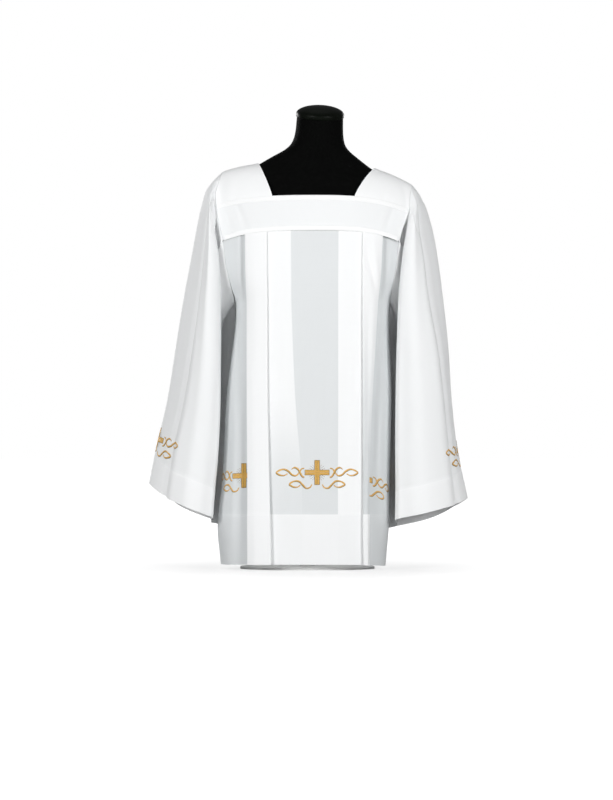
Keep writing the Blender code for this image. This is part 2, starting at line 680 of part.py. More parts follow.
def build_form(collection):
    base_frame = bpy.data.objects.new("stand", None)
    collection.objects.link(base_frame)
    lean_frame = bpy.data.objects.new("lean", None)
    collection.objects.link(lean_frame)
    lean_frame.parent = base_frame
    lean_frame.location = (0.0, 0.0, LEAN_LEVEL)
    lean_frame.rotation_euler = (0.0, FORM_LEAN, 0.0)

    jersey = material("black_jersey", BLACK_JERSEY)
    wood = material("black_wood", BLACK_WOOD)
    steel = material("white_steel", WHITE_STEEL)

    torso = form_body(collection, lean_frame, jersey)
    torso.location = (0.0, 0.0, -LEAN_LEVEL)

    cap_profile = [(0.0, CAP_RIM + CAP_DOME)]
    for angle in steps(0, math.pi / 2, 5):
        cap_profile.append((CAP_RADIUS * math.sin(angle), CAP_RIM + CAP_DOME * math.cos(angle)))
    cap_profile += [(CAP_RADIUS, CAP_RIM), (CAP_RADIUS - 0.0008, 0.0), (0.0, 0.0)]
    cap = turned("form_neck_cap", cap_profile, collection, lean_frame, wood)
    cap.location = NECK_CUT_MIDDLE + Vector((0.0, 0.0, PIECE_GAP - LEAN_LEVEL))
    cap.rotation_euler = (NECK_TILT_FORWARD, 0.0, 0.0)
    cap.scale = (1.0, CAP_DEPTH_STRETCH, 1.0)

    base_profile = [(0.0, BASE_HEIGHT), (BASE_RADIUS - BASE_EDGE, BASE_HEIGHT), (BASE_RADIUS, BASE_HEIGHT - BASE_EDGE)]
    base_profile += [(BASE_RADIUS, 0.0), (0.0, 0.0)]
    base = turned("stand_base", base_profile, collection, base_frame, steel)
    base.scale = (BASE_STRETCH, 1.0, 1.0)

    lean_drop = FLANGE_RADIUS * math.sin(FORM_LEAN)
    post_top = LEAN_LEVEL - lean_drop - FLANGE_HEIGHT - 2 * PIECE_GAP
    post_profile = [(0.0, post_top), (POST_RADIUS, post_top)]
    post_profile += [(POST_RADIUS, BASE_HEIGHT + PIECE_GAP), (0.0, BASE_HEIGHT + PIECE_GAP)]
    turned("stand_post", post_profile, collection, base_frame, steel)

    flange_profile = [(0.0, FLANGE_HEIGHT), (FLANGE_RADIUS, FLANGE_HEIGHT), (FLANGE_RADIUS, 0.0), (0.0, 0.0)]
    flange = turned("stand_flange", flange_profile, collection, base_frame, steel)
    flange.location = (0.0, 0.0, LEAN_LEVEL - lean_drop - FLANGE_HEIGHT - PIECE_GAP)


def build_garment(collection):
    garment_frame = bpy.data.objects.new("garment", None)
    collection.objects.link(garment_frame)
    garment_frame.location = (MIDDLE_X, 0.0, 0.0)
    white = material("white_cloth", WHITE_CLOTH)
    tape = material("white_tape", WHITE_TAPE)
    top_of_band = -SEAM_GAP
    bottom_of_band = TAPE_WIDTH + SEAM_GAP
    front = pleated_panel("front", FRONT_LEVELS, FRONT_RIGHT, FRONT_LEFT, FRONT_YOKE_SEAM, -1)
    back = pleated_panel("back", BACK_LEVELS, BACK_RIGHT, BACK_LEFT, BACK_YOKE_SEAM, 1)
    pieces = (
        (shoulder_piece("shoulder_right", -1), white),
        (shoulder_piece("shoulder_left", 1), white),
        (yoke_band("yoke_front", FRONT_NECK_SEAM, FRONT_YOKE_SEAM, -1), white),
        (yoke_band("yoke_back", BACK_NECK_SEAM, BACK_YOKE_SEAM, 1), white),
        (seam_tape("neck_tape_front", FRONT_NECK_SEAM, top_of_band, 0.06, -1), tape),
        (seam_tape("yoke_tape_front", FRONT_YOKE_SEAM, bottom_of_band, 0.94, -1), tape),
        (seam_tape("neck_tape_back", BACK_NECK_SEAM, top_of_band, 0.06, 1), tape),
        (seam_tape("yoke_tape_back", BACK_YOKE_SEAM, bottom_of_band, 0.94, 1), tape),
        (front[0], white),
        (front[1], white),
        (back[0], white),
        (back[1], white),
        (sleeve("sleeve_right", -1), white),
        (sleeve("sleeve_left", 1), white),
    )
    for obj, finish in pieces:
        link(obj, collection, garment_frame, finish)


def main():
    clear_scene()
    collection = bpy.data.collections.new("surplice_on_dress_form")
    bpy.context.scene.collection.children.link(collection)
    build_form(collection)
    build_garment(collection)


main()
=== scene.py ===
"""A pleated white surplice with gold embroidery, worn by a black dress form on a low stand.

Metres, +Z up, the front faces -Y. Left and right are the wearer's, so the wearer's right is at -X.
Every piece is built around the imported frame, in the same coordinates.
"""

import math
from collections import namedtuple

import bmesh
import bpy
from bpy.props import FloatProperty, FloatVectorProperty, IntProperty, PointerProperty
from mathutils import Matrix, Vector


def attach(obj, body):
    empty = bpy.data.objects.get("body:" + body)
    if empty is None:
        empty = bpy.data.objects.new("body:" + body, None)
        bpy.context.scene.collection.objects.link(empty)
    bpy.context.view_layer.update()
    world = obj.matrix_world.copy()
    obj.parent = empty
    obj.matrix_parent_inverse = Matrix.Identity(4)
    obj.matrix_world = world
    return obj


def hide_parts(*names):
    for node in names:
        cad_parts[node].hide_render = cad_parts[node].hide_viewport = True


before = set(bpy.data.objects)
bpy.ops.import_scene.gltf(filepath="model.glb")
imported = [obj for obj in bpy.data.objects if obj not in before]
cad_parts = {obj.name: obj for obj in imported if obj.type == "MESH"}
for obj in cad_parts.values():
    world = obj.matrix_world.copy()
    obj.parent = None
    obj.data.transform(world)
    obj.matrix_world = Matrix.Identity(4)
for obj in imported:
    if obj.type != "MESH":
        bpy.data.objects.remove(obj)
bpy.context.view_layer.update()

bl_info = {
    "name": "Surplice on a Dress Form",
    "version": (1, 0, 0),
    "blender": (4, 5, 0),
    "location": "3D View > Sidebar > Surplice",
    "description": "Builds a pleated surplice with gold embroidery on a black dress form",
    "category": "Object",
}


# Settings that a user would change


class ClothSettings(bpy.types.PropertyGroup):
    """The white cloth of the body, the yoke and the sleeves."""

    thickness: FloatProperty(
        name="Thickness",
        description="Thickness of one layer of cloth",
        default=0.0005,
        min=0.0002,
        max=0.0010,
        unit="LENGTH",
    )
    hem_thickness: FloatProperty(
        name="Hem thickness",
        description="Thickness where the hem is turned up",
        default=0.0012,
        min=0.0004,
        max=0.0018,
        unit="LENGTH",
    )
    row_spacing: FloatProperty(
        name="Row spacing",
        description="Distance between rows of points down the cloth",
        default=0.0068,
        min=0.003,
        max=0.02,
        unit="LENGTH",
    )
    body_hem: FloatProperty(
        name="Body hem",
        description="Depth of the turned-up hem of the front and the back",
        default=0.112,
        min=0.02,
        max=0.15,
        unit="LENGTH",
    )
    sleeve_hem: FloatProperty(
        name="Sleeve hem",
        description="Depth of the turned-up hem of a sleeve",
        default=0.064,
        min=0.02,
        max=0.10,
        unit="LENGTH",
    )
    thin_colour: FloatVectorProperty(
        name="Single layer",
        description="Colour of one layer of cloth, which lets the dark form show a little",
        default=(0.672, 0.698, 0.708),
        subtype="COLOR",
        size=3,
        min=0.0,
        max=1.0,
    )
    full_colour: FloatVectorProperty(
        name="Several layers",
        description="Colour of cloth that has other layers behind it",
        default=(0.925, 0.932, 0.935),
        subtype="COLOR",
        size=3,
        min=0.0,
        max=1.0,
    )
    threads: FloatProperty(
        name="Threads",
        description="Threads in a metre of the plain weave",
        default=2400.0,
        min=500.0,
        max=6000.0,
    )
    sheen: FloatProperty(
        name="Sheen",
        description="Strength of the soft sheen of the cloth",
        default=0.10,
        min=0.0,
        max=1.0,
        subtype="FACTOR",
    )


class TapeSettings(bpy.types.PropertyGroup):
    """The folded tapes along the yoke seams, and the sewing thread."""

    width: FloatProperty(
        name="Width",
        description="Width of a folded tape",
        default=0.0108,
        min=0.006,
        max=0.014,
        unit="LENGTH",
    )
    puff: FloatProperty(
        name="Puff",
        description="How far the middle of the tape stands out from its edges",
        default=0.0011,
        min=0.0003,
        max=0.003,
        unit="LENGTH",
    )
    colour: FloatVectorProperty(
        name="Tape colour",
        description="Colour of the folded tapes",
        default=(0.945, 0.950, 0.950),
        subtype="COLOR",
        size=3,
        min=0.0,
        max=1.0,
    )
    stitch: FloatProperty(
        name="Stitch",
        description="Length of one machine stitch",
        default=0.0028,
        min=0.0015,
        max=0.005,
        unit="LENGTH",
    )
    thread: FloatProperty(
        name="Thread",
        description="Thickness of the white sewing thread",
        default=0.00032,
        min=0.0002,
        max=0.0006,
        unit="LENGTH",
    )


class EmbroiderySettings(bpy.types.PropertyGroup):
    """The gold embroidery above the hems."""

    cord_width: FloatProperty(
        name="Scroll width",
        description="Width of a satin-stitched scroll at its widest",
        default=0.0038,
        min=0.001,
        max=0.005,
        unit="LENGTH",
    )
    relief: FloatProperty(
        name="Relief",
        description="How far the satin stitches stand out of the cloth",
        default=0.0009,
        min=0.0002,
        max=0.002,
        unit="LENGTH",
    )
    gold: FloatVectorProperty(
        name="Gold",
        description="Colour of the gold thread",
        default=(0.920, 0.530, 0.110),
        subtype="COLOR",
        size=3,
        min=0.0,
        max=1.0,
    )
    bronze: FloatVectorProperty(
        name="Outline",
        description="Colour of the darker thread around the crosses and along the scrolls",
        default=(0.250, 0.155, 0.030),
        subtype="COLOR",
        size=3,
        min=0.0,
        max=1.0,
    )
    body_height: FloatProperty(
        name="Height on the body",
        description="Height of the middle of the crosses on the front and the back",
        default=0.2195,
        min=0.16,
        max=0.40,
        unit="LENGTH",
    )
    sleeve_rise: FloatProperty(
        name="Rise on the sleeves",
        description="Distance from a sleeve's hem up to the middle of its cross",
        default=0.092,
        min=0.07,
        max=0.20,
        unit="LENGTH",
    )


class FormSettings(bpy.types.PropertyGroup):
    """The black dress form and its white stand."""

    sides: IntProperty(
        name="Sides",
        description="Number of points around the torso",
        default=112,
        min=32,
        max=256,
    )
    jersey: FloatVectorProperty(
        name="Jersey",
        description="Colour of the stretched black cover",
        default=(0.0012, 0.0013, 0.0012),
        subtype="COLOR",
        size=3,
        min=0.0,
        max=1.0,
    )
    lacquer: FloatVectorProperty(
        name="Lacquer",
        description="Colour of the lacquered neck cap",
        default=(0.0020, 0.0028, 0.0018),
        subtype="COLOR",
        size=3,
        min=0.0,
        max=1.0,
    )
    enamel: FloatVectorProperty(
        name="Enamel",
        description="Colour of the painted steel stand",
        default=(0.78, 0.78, 0.77),
        subtype="COLOR",
        size=3,
        min=0.0,
        max=1.0,
    )


class StageSettings(bpy.types.PropertyGroup):
    """The floor, the lights and the camera."""

    floor_colour: FloatVectorProperty(
        name="Floor",
        description="Colour of the plain floor",
        default=(0.36, 0.36, 0.36),
        subtype="COLOR",
        size=3,
        min=0.0,
        max=1.0,
    )
    floor_radius: FloatProperty(
        name="Floor radius",
        description="Radius of the round floor",
        default=14.0,
        min=2.0,
        max=60.0,
        unit="LENGTH",
    )
    lens: FloatProperty(
        name="Lens",
        description="Focal length of the camera, in millimetres",
        default=150.0,
        min=35.0,
        max=200.0,
        unit="CAMERA",
    )
    picture_height: FloatProperty(
        name="Picture height",
        description="Height of what the camera sees, at the garment",
        default=1.80,
        min=0.5,
        max=4.0,
        unit="LENGTH",
    )
    camera_height: FloatProperty(
        name="Camera height",
        description="Height of the camera above the floor",
        default=0.381,
        min=0.0,
        max=2.0,
        unit="LENGTH",
    )
    fill: FloatProperty(
        name="Fill light",
        description="Strength of the light from all round",
        default=0.18,
        min=0.0,
        max=3.0,
    )
    key: FloatProperty(
        name="Key light",
        description="Power of the large soft light in front, in watts",
        default=96.0,
        min=0.0,
        max=2000.0,
    )


# The cut of the garment, in its own frame, whose middle line is beside the stand's

MIDDLE_X = 0.016

SEAM_GAP = 0.0004
SHELL_GAP = 0.0001
CAD_WALL = 0.0010

# The yoke lies on an arch over the shoulders: half ellipses that stand on this level.
ARCH_FOOT = 0.700
ARCH_FRONT_DEPTH = 0.1150
ARCH_BACK_DEPTH = 0.1180
ARCH_HALF_WIDTH = 0.262

# Seams around the yoke: the height at the middle, and how far the ends hang lower.
SeamLine = namedtuple("SeamLine", "height drop_right drop_left power")
FRONT_NECK_SEAM = SeamLine(0.8385, 0.0185, 0.0290, 3.1)
FRONT_YOKE_SEAM = SeamLine(0.7590, 0.0300, 0.0360, 3.5)
BACK_NECK_SEAM = SeamLine(0.8660, 0.0300, 0.0400, 3.1)
BACK_YOKE_SEAM = SeamLine(0.7900, 0.0330, 0.0390, 3.5)

# The ridge of the cloth over each shoulder, from the middle outwards.
Ridge = namedtuple("Ridge", "across height")
RIDGE_RIGHT = (
    Ridge(0.000, 0.945),
    Ridge(0.060, 0.939),
    Ridge(0.127, 0.9165),
    Ridge(0.170, 0.908),
    Ridge(0.208, 0.896),
    Ridge(0.240, 0.872),
)
RIDGE_LEFT = (
    Ridge(0.000, 0.945),
    Ridge(0.060, 0.935),
    Ridge(0.136, 0.9055),
    Ridge(0.180, 0.888),
    Ridge(0.2216, 0.866),
    Ridge(0.245, 0.842),
)

# The edges of a shoulder piece: its distance from the middle at the front seam, the ridge and the back seam.
PieceEdges = namedtuple("PieceEdges", "front ridge back")
NECK_RIGHT = PieceEdges(0.0945, 0.1270, 0.1080)
NECK_LEFT = PieceEdges(0.0890, 0.1360, 0.1080)
ARMHOLE_RIGHT = PieceEdges(0.2240, 0.2080, 0.2200)
ARMHOLE_LEFT = PieceEdges(0.2126, 0.2216, 0.2120)
YOKE_END_RIGHT = 0.2036
YOKE_END_LEFT = 0.1870
TAPE_END = 0.0035

# The body panels, level by level: the depth of the rounded section at its middle, how square it is, and the
# distance from layer to layer in the pleats.
Level = namedtuple("Level", "height depth squareness pitch")
FRONT_LEVELS = (
    Level(0.744, 0.1130, 2.2, 0.0018),
    Level(0.660, 0.1185, 2.5, 0.0023),
    Level(0.597, 0.1200, 2.8, 0.0026),
    Level(0.383, 0.1210, 3.0, 0.0034),
    Level(0.203, 0.1220, 3.0, 0.0042),
    Level(0.097, 0.1225, 3.0, 0.0047),
    Level(0.014, 0.1225, 3.0, 0.0050),
)
BACK_LEVELS = (
    Level(0.775, 0.1170, 2.2, 0.0018),
    Level(0.660, 0.1195, 2.5, 0.0023),
    Level(0.597, 0.1190, 2.8, 0.0026),
    Level(0.383, 0.1190, 3.0, 0.0034),
    Level(0.203, 0.1210, 3.0, 0.0042),
    Level(0.097, 0.1220, 3.0, 0.0047),
    Level(0.014, 0.1220, 3.0, 0.0050),
)
# Each side of a panel has one raised pleat. From the middle outwards: where the deep inlay turns behind the
# middle face, the pleat's inner edge, where the middle face turns under the pleat, the pleat's outer edge, the
# half width of the section, the share of it at which the cloth ends (1 is the side seam), and how much lower
# the cloth is there.
Side = namedtuple("Side", "height inlay inner tuck outer width edge drop")
FRONT_RIGHT = (
    Side(0.744, 0.0530, 0.1065, 0.1310, 0.1565, 0.2540, 0.8016, 0.0150),
    Side(0.660, 0.0525, 0.1060, 0.1310, 0.1560, 0.2120, 0.9000, 0.0060),
    Side(0.597, 0.0520, 0.1055, 0.1300, 0.1550, 0.1800, 1.0000, 0.0000),
    Side(0.383, 0.0430, 0.1045, 0.1290, 0.1535, 0.1990, 1.0000, 0.0000),
    Side(0.203, 0.0290, 0.1010, 0.1270, 0.1520, 0.2080, 1.0000, 0.0000),
    Side(0.097, 0.0280, 0.0985, 0.1260, 0.1520, 0.2185, 1.0000, 0.0000),
    Side(0.014, 0.0270, 0.0968, 0.1250, 0.1520, 0.2110, 1.0000, 0.0030),
)
FRONT_LEFT = (
    Side(0.744, 0.0535, 0.1070, 0.1300, 0.1540, 0.2380, 0.7857, 0.0210),
    Side(0.660, 0.0530, 0.1070, 0.1290, 0.1500, 0.1980, 0.8900, 0.0080),
    Side(0.597, 0.0530, 0.1070, 0.1270, 0.1450, 0.1700, 1.0000, 0.0000),
    Side(0.383, 0.0530, 0.1080, 0.1200, 0.1310, 0.1740, 1.0000, 0.0000),
    Side(0.203, 0.0525, 0.1090, 0.1170, 0.1250, 0.1690, 1.0000, 0.0000),
    Side(0.097, 0.0525, 0.1090, 0.1170, 0.1250, 0.1676, 1.0000, 0.0000),
    Side(0.014, 0.0520, 0.1100, 0.1175, 0.1250, 0.1600, 1.0000, 0.0060),
)
BACK_RIGHT = (
    Side(0.775, 0.0530, 0.1060, 0.1300, 0.1540, 0.2540, 0.8016, 0.0180),
    Side(0.660, 0.0520, 0.1060, 0.1300, 0.1540, 0.2120, 0.9000, 0.0060),
    Side(0.597, 0.0510, 0.1060, 0.1295, 0.1530, 0.1800, 1.0000, 0.0000),
    Side(0.383, 0.0470, 0.1050, 0.1285, 0.1520, 0.1990, 1.0000, 0.0000),
    Side(0.203, 0.0420, 0.1040, 0.1275, 0.1510, 0.2080, 1.0000, 0.0000),
    Side(0.097, 0.0400, 0.1035, 0.1270, 0.1510, 0.2185, 1.0000, 0.0000),
    Side(0.014, 0.0390, 0.1030, 0.1270, 0.1510, 0.2110, 1.0000, 0.0030),
)
BACK_LEFT = (
    Side(0.775, 0.0530, 0.1060, 0.1290, 0.1520, 0.2380, 0.7857, 0.0230),
    Side(0.660, 0.0520, 0.1060, 0.1280, 0.1500, 0.1980, 0.8900, 0.0080),
    Side(0.597, 0.0510, 0.1060, 0.1250, 0.1440, 0.1700, 1.0000, 0.0000),
    Side(0.383, 0.0470, 0.1050, 0.1225, 0.1400, 0.1740, 1.0000, 0.0000),
    Side(0.203, 0.0420, 0.1040, 0.1200, 0.1360, 0.1690, 1.0000, 0.0000),
    Side(0.097, 0.0400, 0.1035, 0.1190, 0.1350, 0.1676, 1.0000, 0.0000),
    Side(0.014, 0.0390, 0.1030, 0.1185, 0.1340, 0.1600, 1.0000, 0.0060),
)
SIDE_LAYER = 4
UNDERARM_LEVEL = 0.597
FIRST_BAND = 0.30

# A sleeve hangs as a tube with a soft valley in front and behind. Distances across are from the garment's
# middle: the outer edge, the valley, the middle of the front face, its inner corner, and the inner wall.
Tube = namedtuple("Tube", "height outer valley face corner wall back_corner valley_depth face_depth")
SLEEVE_RIGHT = (
    Tube(0.865, 0.2430, 0.2360, 0.2320, 0.2270, 0.2270, 0.2270, 0.0420, 0.0500),
    Tube(0.800, 0.2600, 0.2400, 0.2360, 0.2290, 0.2290, 0.2290, 0.0550, 0.0740),
    Tube(0.700, 0.2790, 0.2490, 0.2370, 0.2175, 0.2160, 0.2150, 0.0620, 0.0920),
    Tube(0.608, 0.2960, 0.2600, 0.2420, 0.2160, 0.2110, 0.1900, 0.0640, 0.0960),
    Tube(0.496, 0.3140, 0.2760, 0.2480, 0.2155, 0.2110, 0.1830, 0.0620, 0.0970),
    Tube(0.383, 0.3320, 0.2940, 0.2560, 0.2155, 0.2140, 0.1870, 0.0600, 0.0980),
    Tube(0.270, 0.3580, 0.3180, 0.2700, 0.2200, 0.2220, 0.1950, 0.0580, 0.0980),
    Tube(0.160, 0.3790, 0.3340, 0.2850, 0.2310, 0.2300, 0.2040, 0.0570, 0.0980),
    Tube(0.090, 0.3860, 0.3400, 0.2900, 0.2370, 0.2340, 0.2110, 0.0570, 0.0980),
)
SLEEVE_LEFT = (
    Tube(0.833, 0.2470, 0.2330, 0.2260, 0.2160, 0.2160, 0.2170, 0.0450, 0.0560),
    Tube(0.770, 0.2660, 0.2370, 0.2240, 0.2080, 0.2090, 0.2100, 0.0580, 0.0800),
    Tube(0.700, 0.2790, 0.2480, 0.2240, 0.1990, 0.2000, 0.2005, 0.0620, 0.0920),
    Tube(0.608, 0.2910, 0.2600, 0.2280, 0.1930, 0.1900, 0.1820, 0.0640, 0.0960),
    Tube(0.496, 0.3030, 0.2800, 0.2380, 0.1895, 0.1870, 0.1670, 0.0620, 0.0970),
    Tube(0.383, 0.3100, 0.2930, 0.2450, 0.1885, 0.1850, 0.1640, 0.0600, 0.0980),
    Tube(0.270, 0.3230, 0.3040, 0.2500, 0.1885, 0.1850, 0.1630, 0.0580, 0.0980),
    Tube(0.160, 0.3460, 0.3160, 0.2560, 0.1900, 0.1860, 0.1620, 0.0570, 0.0980),
    Tube(0.090, 0.3560, 0.3230, 0.2600, 0.1890, 0.1860, 0.1620, 0.0570, 0.0980),
)
# How high the sleeve's hem is at those places, in the same order around the tube.
CuffHeights = namedtuple(
    "CuffHeights", "outer valley face corner wall_front wall wall_back back_corner back_face back_valley"
)
CUFF_RIGHT = CuffHeights(0.192, 0.163, 0.142, 0.121, 0.112, 0.107, 0.102, 0.100, 0.128, 0.160)
CUFF_LEFT = CuffHeights(0.159, 0.147, 0.131, 0.116, 0.106, 0.100, 0.094, 0.088, 0.108, 0.138)
# The shares of the way round a sleeve at which those places lie, from the shoulder ridge to the front and round.
AROUND = (0.0, 0.07, 0.13, 0.20, 0.42, 0.50, 0.58, 0.80, 0.87, 0.93, 1.0)
# The shares of a sleeve's length over which the cloth turns from the seam into the hanging tube.
TURN_AT_SHOULDER = 0.07
TURN_AT_UNDERARM_FRONT = 0.045
TURN_AT_UNDERARM_BACK = 0.30
SLEEVE_COLUMNS = 132

# Creases: a soft trough from one place to another, how wide it is, how deep, and how far its
# middle bows sideways. A negative depth is a ridge.
Crease = namedtuple("Crease", "x_from z_from x_to z_to width depth bow")
FRONT_CREASES = (
    Crease(0.1150, 0.708, 0.1370, 0.622, 0.0060, 0.0030, 0.003),
    Crease(0.1300, 0.735, 0.1440, 0.660, 0.0050, -0.0012, 0.000),
    Crease(0.1190, 0.560, 0.1180, 0.200, 0.0070, 0.0026, 0.002),
    Crease(0.1620, 0.742, 0.1540, 0.560, 0.0080, 0.0038, -0.002),
    Crease(0.1500, 0.600, 0.1370, 0.240, 0.0090, 0.0030, 0.003),
    Crease(-0.1650, 0.742, -0.1610, 0.560, 0.0070, 0.0036, 0.001),
    Crease(-0.1600, 0.640, -0.1600, 0.180, 0.0060, 0.0022, 0.001),
    Crease(-0.1900, 0.620, -0.1780, 0.360, 0.0110, 0.0030, 0.004),
    Crease(-0.1860, 0.400, -0.1930, 0.110, 0.0120, -0.0030, 0.003),
    Crease(-0.1440, 0.700, -0.1410, 0.470, 0.0060, 0.0007, 0.001),
    Crease(-0.0200, 0.620, -0.0260, 0.250, 0.0140, 0.0012, -0.003),
    Crease(0.0260, 0.560, 0.0180, 0.300, 0.0160, 0.0011, 0.002),
    Crease(-0.0640, 0.520, -0.0560, 0.080, 0.0130, 0.0014, 0.002),
    Crease(0.0700, 0.430, 0.0660, 0.100, 0.0150, 0.0012, -0.002),
    Crease(0.0020, 0.260, 0.0060, 0.040, 0.0200, -0.0012, 0.000),
    Crease(0.1560, 0.330, 0.1600, 0.120, 0.0080, -0.0020, -0.002),
)
BACK_CREASES = (
    Crease(0.1180, 0.735, 0.1330, 0.640, 0.0060, 0.0022, 0.002),
    Crease(-0.1240, 0.738, -0.1380, 0.650, 0.0060, 0.0026, -0.002),
    Crease(0.1600, 0.760, 0.1540, 0.560, 0.0080, 0.0034, 0.002),
    Crease(-0.1640, 0.760, -0.1600, 0.540, 0.0080, 0.0038, -0.001),
    Crease(0.1520, 0.560, 0.1500, 0.220, 0.0100, 0.0026, 0.003),
    Crease(-0.1780, 0.600, -0.1850, 0.250, 0.0120, 0.0030, -0.004),
    Crease(0.0300, 0.600, 0.0180, 0.230, 0.0160, 0.0014, 0.003),
    Crease(-0.0240, 0.540, -0.0320, 0.190, 0.0150, 0.0013, -0.002),
    Crease(0.0660, 0.480, 0.0720, 0.090, 0.0140, 0.0013, 0.002),
    Crease(-0.0700, 0.420, -0.0620, 0.060, 0.0150, 0.0015, -0.003),
)
YOKE_CREASES = (
    Crease(-0.1780, 0.826, -0.1560, 0.768, 0.0060, 0.0018, 0.002),
    Crease(-0.1660, 0.822, -0.1380, 0.772, 0.0050, -0.0009, 0.001),
    Crease(-0.1960, 0.800, -0.1800, 0.742, 0.0050, 0.0011, 0.000),
    Crease(0.1820, 0.822, 0.1600, 0.764, 0.0060, 0.0017, -0.002),
    Crease(0.1640, 0.812, 0.1480, 0.772, 0.0050, -0.0008, 0.000),
    Crease(0.0600, 0.822, 0.0420, 0.776, 0.0120, 0.0006, 0.002),
    Crease(-0.0500, 0.826, -0.0680, 0.778, 0.0130, 0.0006, -0.002),
)
SHOULDER_CREASES = (
    Crease(0.1600, 0.842, 0.1420, 0.818, 0.0045, 0.0012, 0.000),
    Crease(0.1980, 0.868, 0.2080, 0.800, 0.0070, 0.0014, 0.003),
    Crease(0.1500, 0.900, 0.1180, 0.850, 0.0070, 0.0008, 0.002),
    Crease(-0.2020, 0.880, -0.2120, 0.806, 0.0080, 0.0016, -0.003),
    Crease(-0.1480, 0.902, -0.1180, 0.852, 0.0080, 0.0008, -0.002),
    Crease(-0.1680, 0.880, -0.1800, 0.826, 0.0070, 0.0007, 0.001),
)

# Creases on a sleeve: the share of the way round and the height where it starts and ends.
# A fold is steeper on the side towards the outer edge by its skew: 1 is even, 3 is three times as steep.
Fold = namedtuple("Fold", "round_from z_from round_to z_to width depth skew", defaults=(1.0,))
SLEEVE_FOLDS_RIGHT = (
    Fold(0.070, 0.845, 0.066, 0.170, 0.0042, 0.0064),
    Fold(0.088, 0.800, 0.084, 0.180, 0.0080, -0.0034),
    Fold(0.040, 0.700, 0.036, 0.240, 0.0130, 0.0014),
    Fold(0.128, 0.640, 0.132, 0.230, 0.0150, 0.0012),
    Fold(0.165, 0.560, 0.160, 0.150, 0.0160, -0.0012),
    Fold(0.188, 0.420, 0.186, 0.130, 0.0100, 0.0022),
    Fold(0.160, 0.835, 0.074, 0.770, 0.0040, 0.0034),
    Fold(0.225, 0.800, 0.400, 0.590, 0.0110, 0.0200, 2.6),
    Fold(0.300, 0.560, 0.320, 0.180, 0.0150, 0.0030),
    Fold(0.430, 0.570, 0.400, 0.260, 0.0140, 0.0026),
    Fold(0.930, 0.820, 0.935, 0.190, 0.0060, 0.0042),
    Fold(0.890, 0.760, 0.896, 0.170, 0.0130, -0.0022),
    Fold(0.845, 0.660, 0.850, 0.180, 0.0140, 0.0018),
    Fold(0.765, 0.780, 0.600, 0.600, 0.0120, 0.0150, 0.5),
    Fold(0.760, 0.630, 0.765, 0.500, 0.0240, -0.0120),
    Fold(0.975, 0.600, 0.982, 0.260, 0.0120, -0.0010),
    Fold(0.660, 0.540, 0.680, 0.170, 0.0160, 0.0030),
)
SLEEVE_FOLDS_LEFT = (
    Fold(0.070, 0.815, 0.066, 0.150, 0.0042, 0.0060),
    Fold(0.088, 0.780, 0.086, 0.170, 0.0080, -0.0032),
    Fold(0.036, 0.660, 0.040, 0.220, 0.0130, 0.0013),
    Fold(0.122, 0.640, 0.128, 0.200, 0.0130, 0.0018),
    Fold(0.150, 0.560, 0.154, 0.120, 0.0130, -0.0016),
    Fold(0.178, 0.500, 0.180, 0.150, 0.0100, 0.0020),
    Fold(0.160, 0.808, 0.074, 0.745, 0.0040, 0.0032),
    Fold(0.225, 0.785, 0.400, 0.590, 0.0170, 0.0340, 2.2),
    Fold(0.290, 0.560, 0.310, 0.180, 0.0150, 0.0032),
    Fold(0.420, 0.560, 0.400, 0.240, 0.0140, 0.0022),
    Fold(0.925, 0.800, 0.930, 0.180, 0.0060, 0.0040),
    Fold(0.885, 0.740, 0.893, 0.160, 0.0130, -0.0020),
    Fold(0.850, 0.640, 0.842, 0.170, 0.0140, 0.0020),
    Fold(0.760, 0.760, 0.600, 0.600, 0.0120, 0.0140, 0.5),
    Fold(0.762, 0.625, 0.765, 0.500, 0.0240, -0.0150),
    Fold(0.978, 0.580, 0.972, 0.240, 0.0120, -0.0011),
    Fold(0.670, 0.560, 0.655, 0.160, 0.0160, 0.0032),
)

# The dress form, in its own upright frame above the top of the post: height, half width, half depth,
# how square the section is, and how far forward and to the wearer's right its middle is.
Ring = namedtuple("Ring", "height half_width half_depth squareness forward sideways")
FORM_RINGS = (
    Ring(0.250, 0.1350, 0.0800, 2.3, 0.000, 0.0000),
    Ring(0.258, 0.1460, 0.0880, 2.4, 0.000, 0.0000),
    Ring(0.330, 0.1520, 0.0940, 2.4, 0.000, 0.0000),
    Ring(0.400, 0.1470, 0.0910, 2.4, 0.000, 0.0000),
    Ring(0.470, 0.1410, 0.0870, 2.4, 0.000, 0.0000),
    Ring(0.540, 0.1470, 0.0900, 2.4, 0.000, 0.0000),
    Ring(0.610, 0.1550, 0.0940, 2.4, 0.000, 0.0000),
    Ring(0.670, 0.1630, 0.0950, 2.4, 0.000, 0.0000),
    Ring(0.740, 0.1780, 0.0930, 2.4, 0.000, 0.0000),
    Ring(0.800, 0.1910, 0.0880, 2.3, 0.000, 0.0000),
    Ring(0.840, 0.1940, 0.0810, 2.3, 0.000, 0.0010),
    Ring(0.862, 0.1880, 0.0740, 2.2, 0.000, 0.0030),
    Ring(0.882, 0.1710, 0.0690, 2.1, 0.000, 0.0055),
    Ring(0.896, 0.1500, 0.0630, 2.0, 0.000, 0.0075),
    Ring(0.908, 0.1285, 0.0570, 2.0, 0.001, 0.0080),
    Ring(0.919, 0.1120, 0.0570, 2.0, 0.001, 0.0075),
    Ring(0.930, 0.0955, 0.0590, 2.0, 0.002, 0.0060),
    Ring(0.944, 0.0745, 0.0600, 2.0, 0.004, 0.0035),
    Ring(0.958, 0.0615, 0.0590, 2.0, 0.006, 0.0025),
    Ring(0.980, 0.0548, 0.0570, 2.0, 0.009, 0.0015),
    Ring(1.0205, 0.0522, 0.0550, 2.0, 0.011, 0.0010),
)
FORM_LEAN = math.radians(2.2)
LEAN_LEVEL = 0.250
NECK_FOOT = 0.950
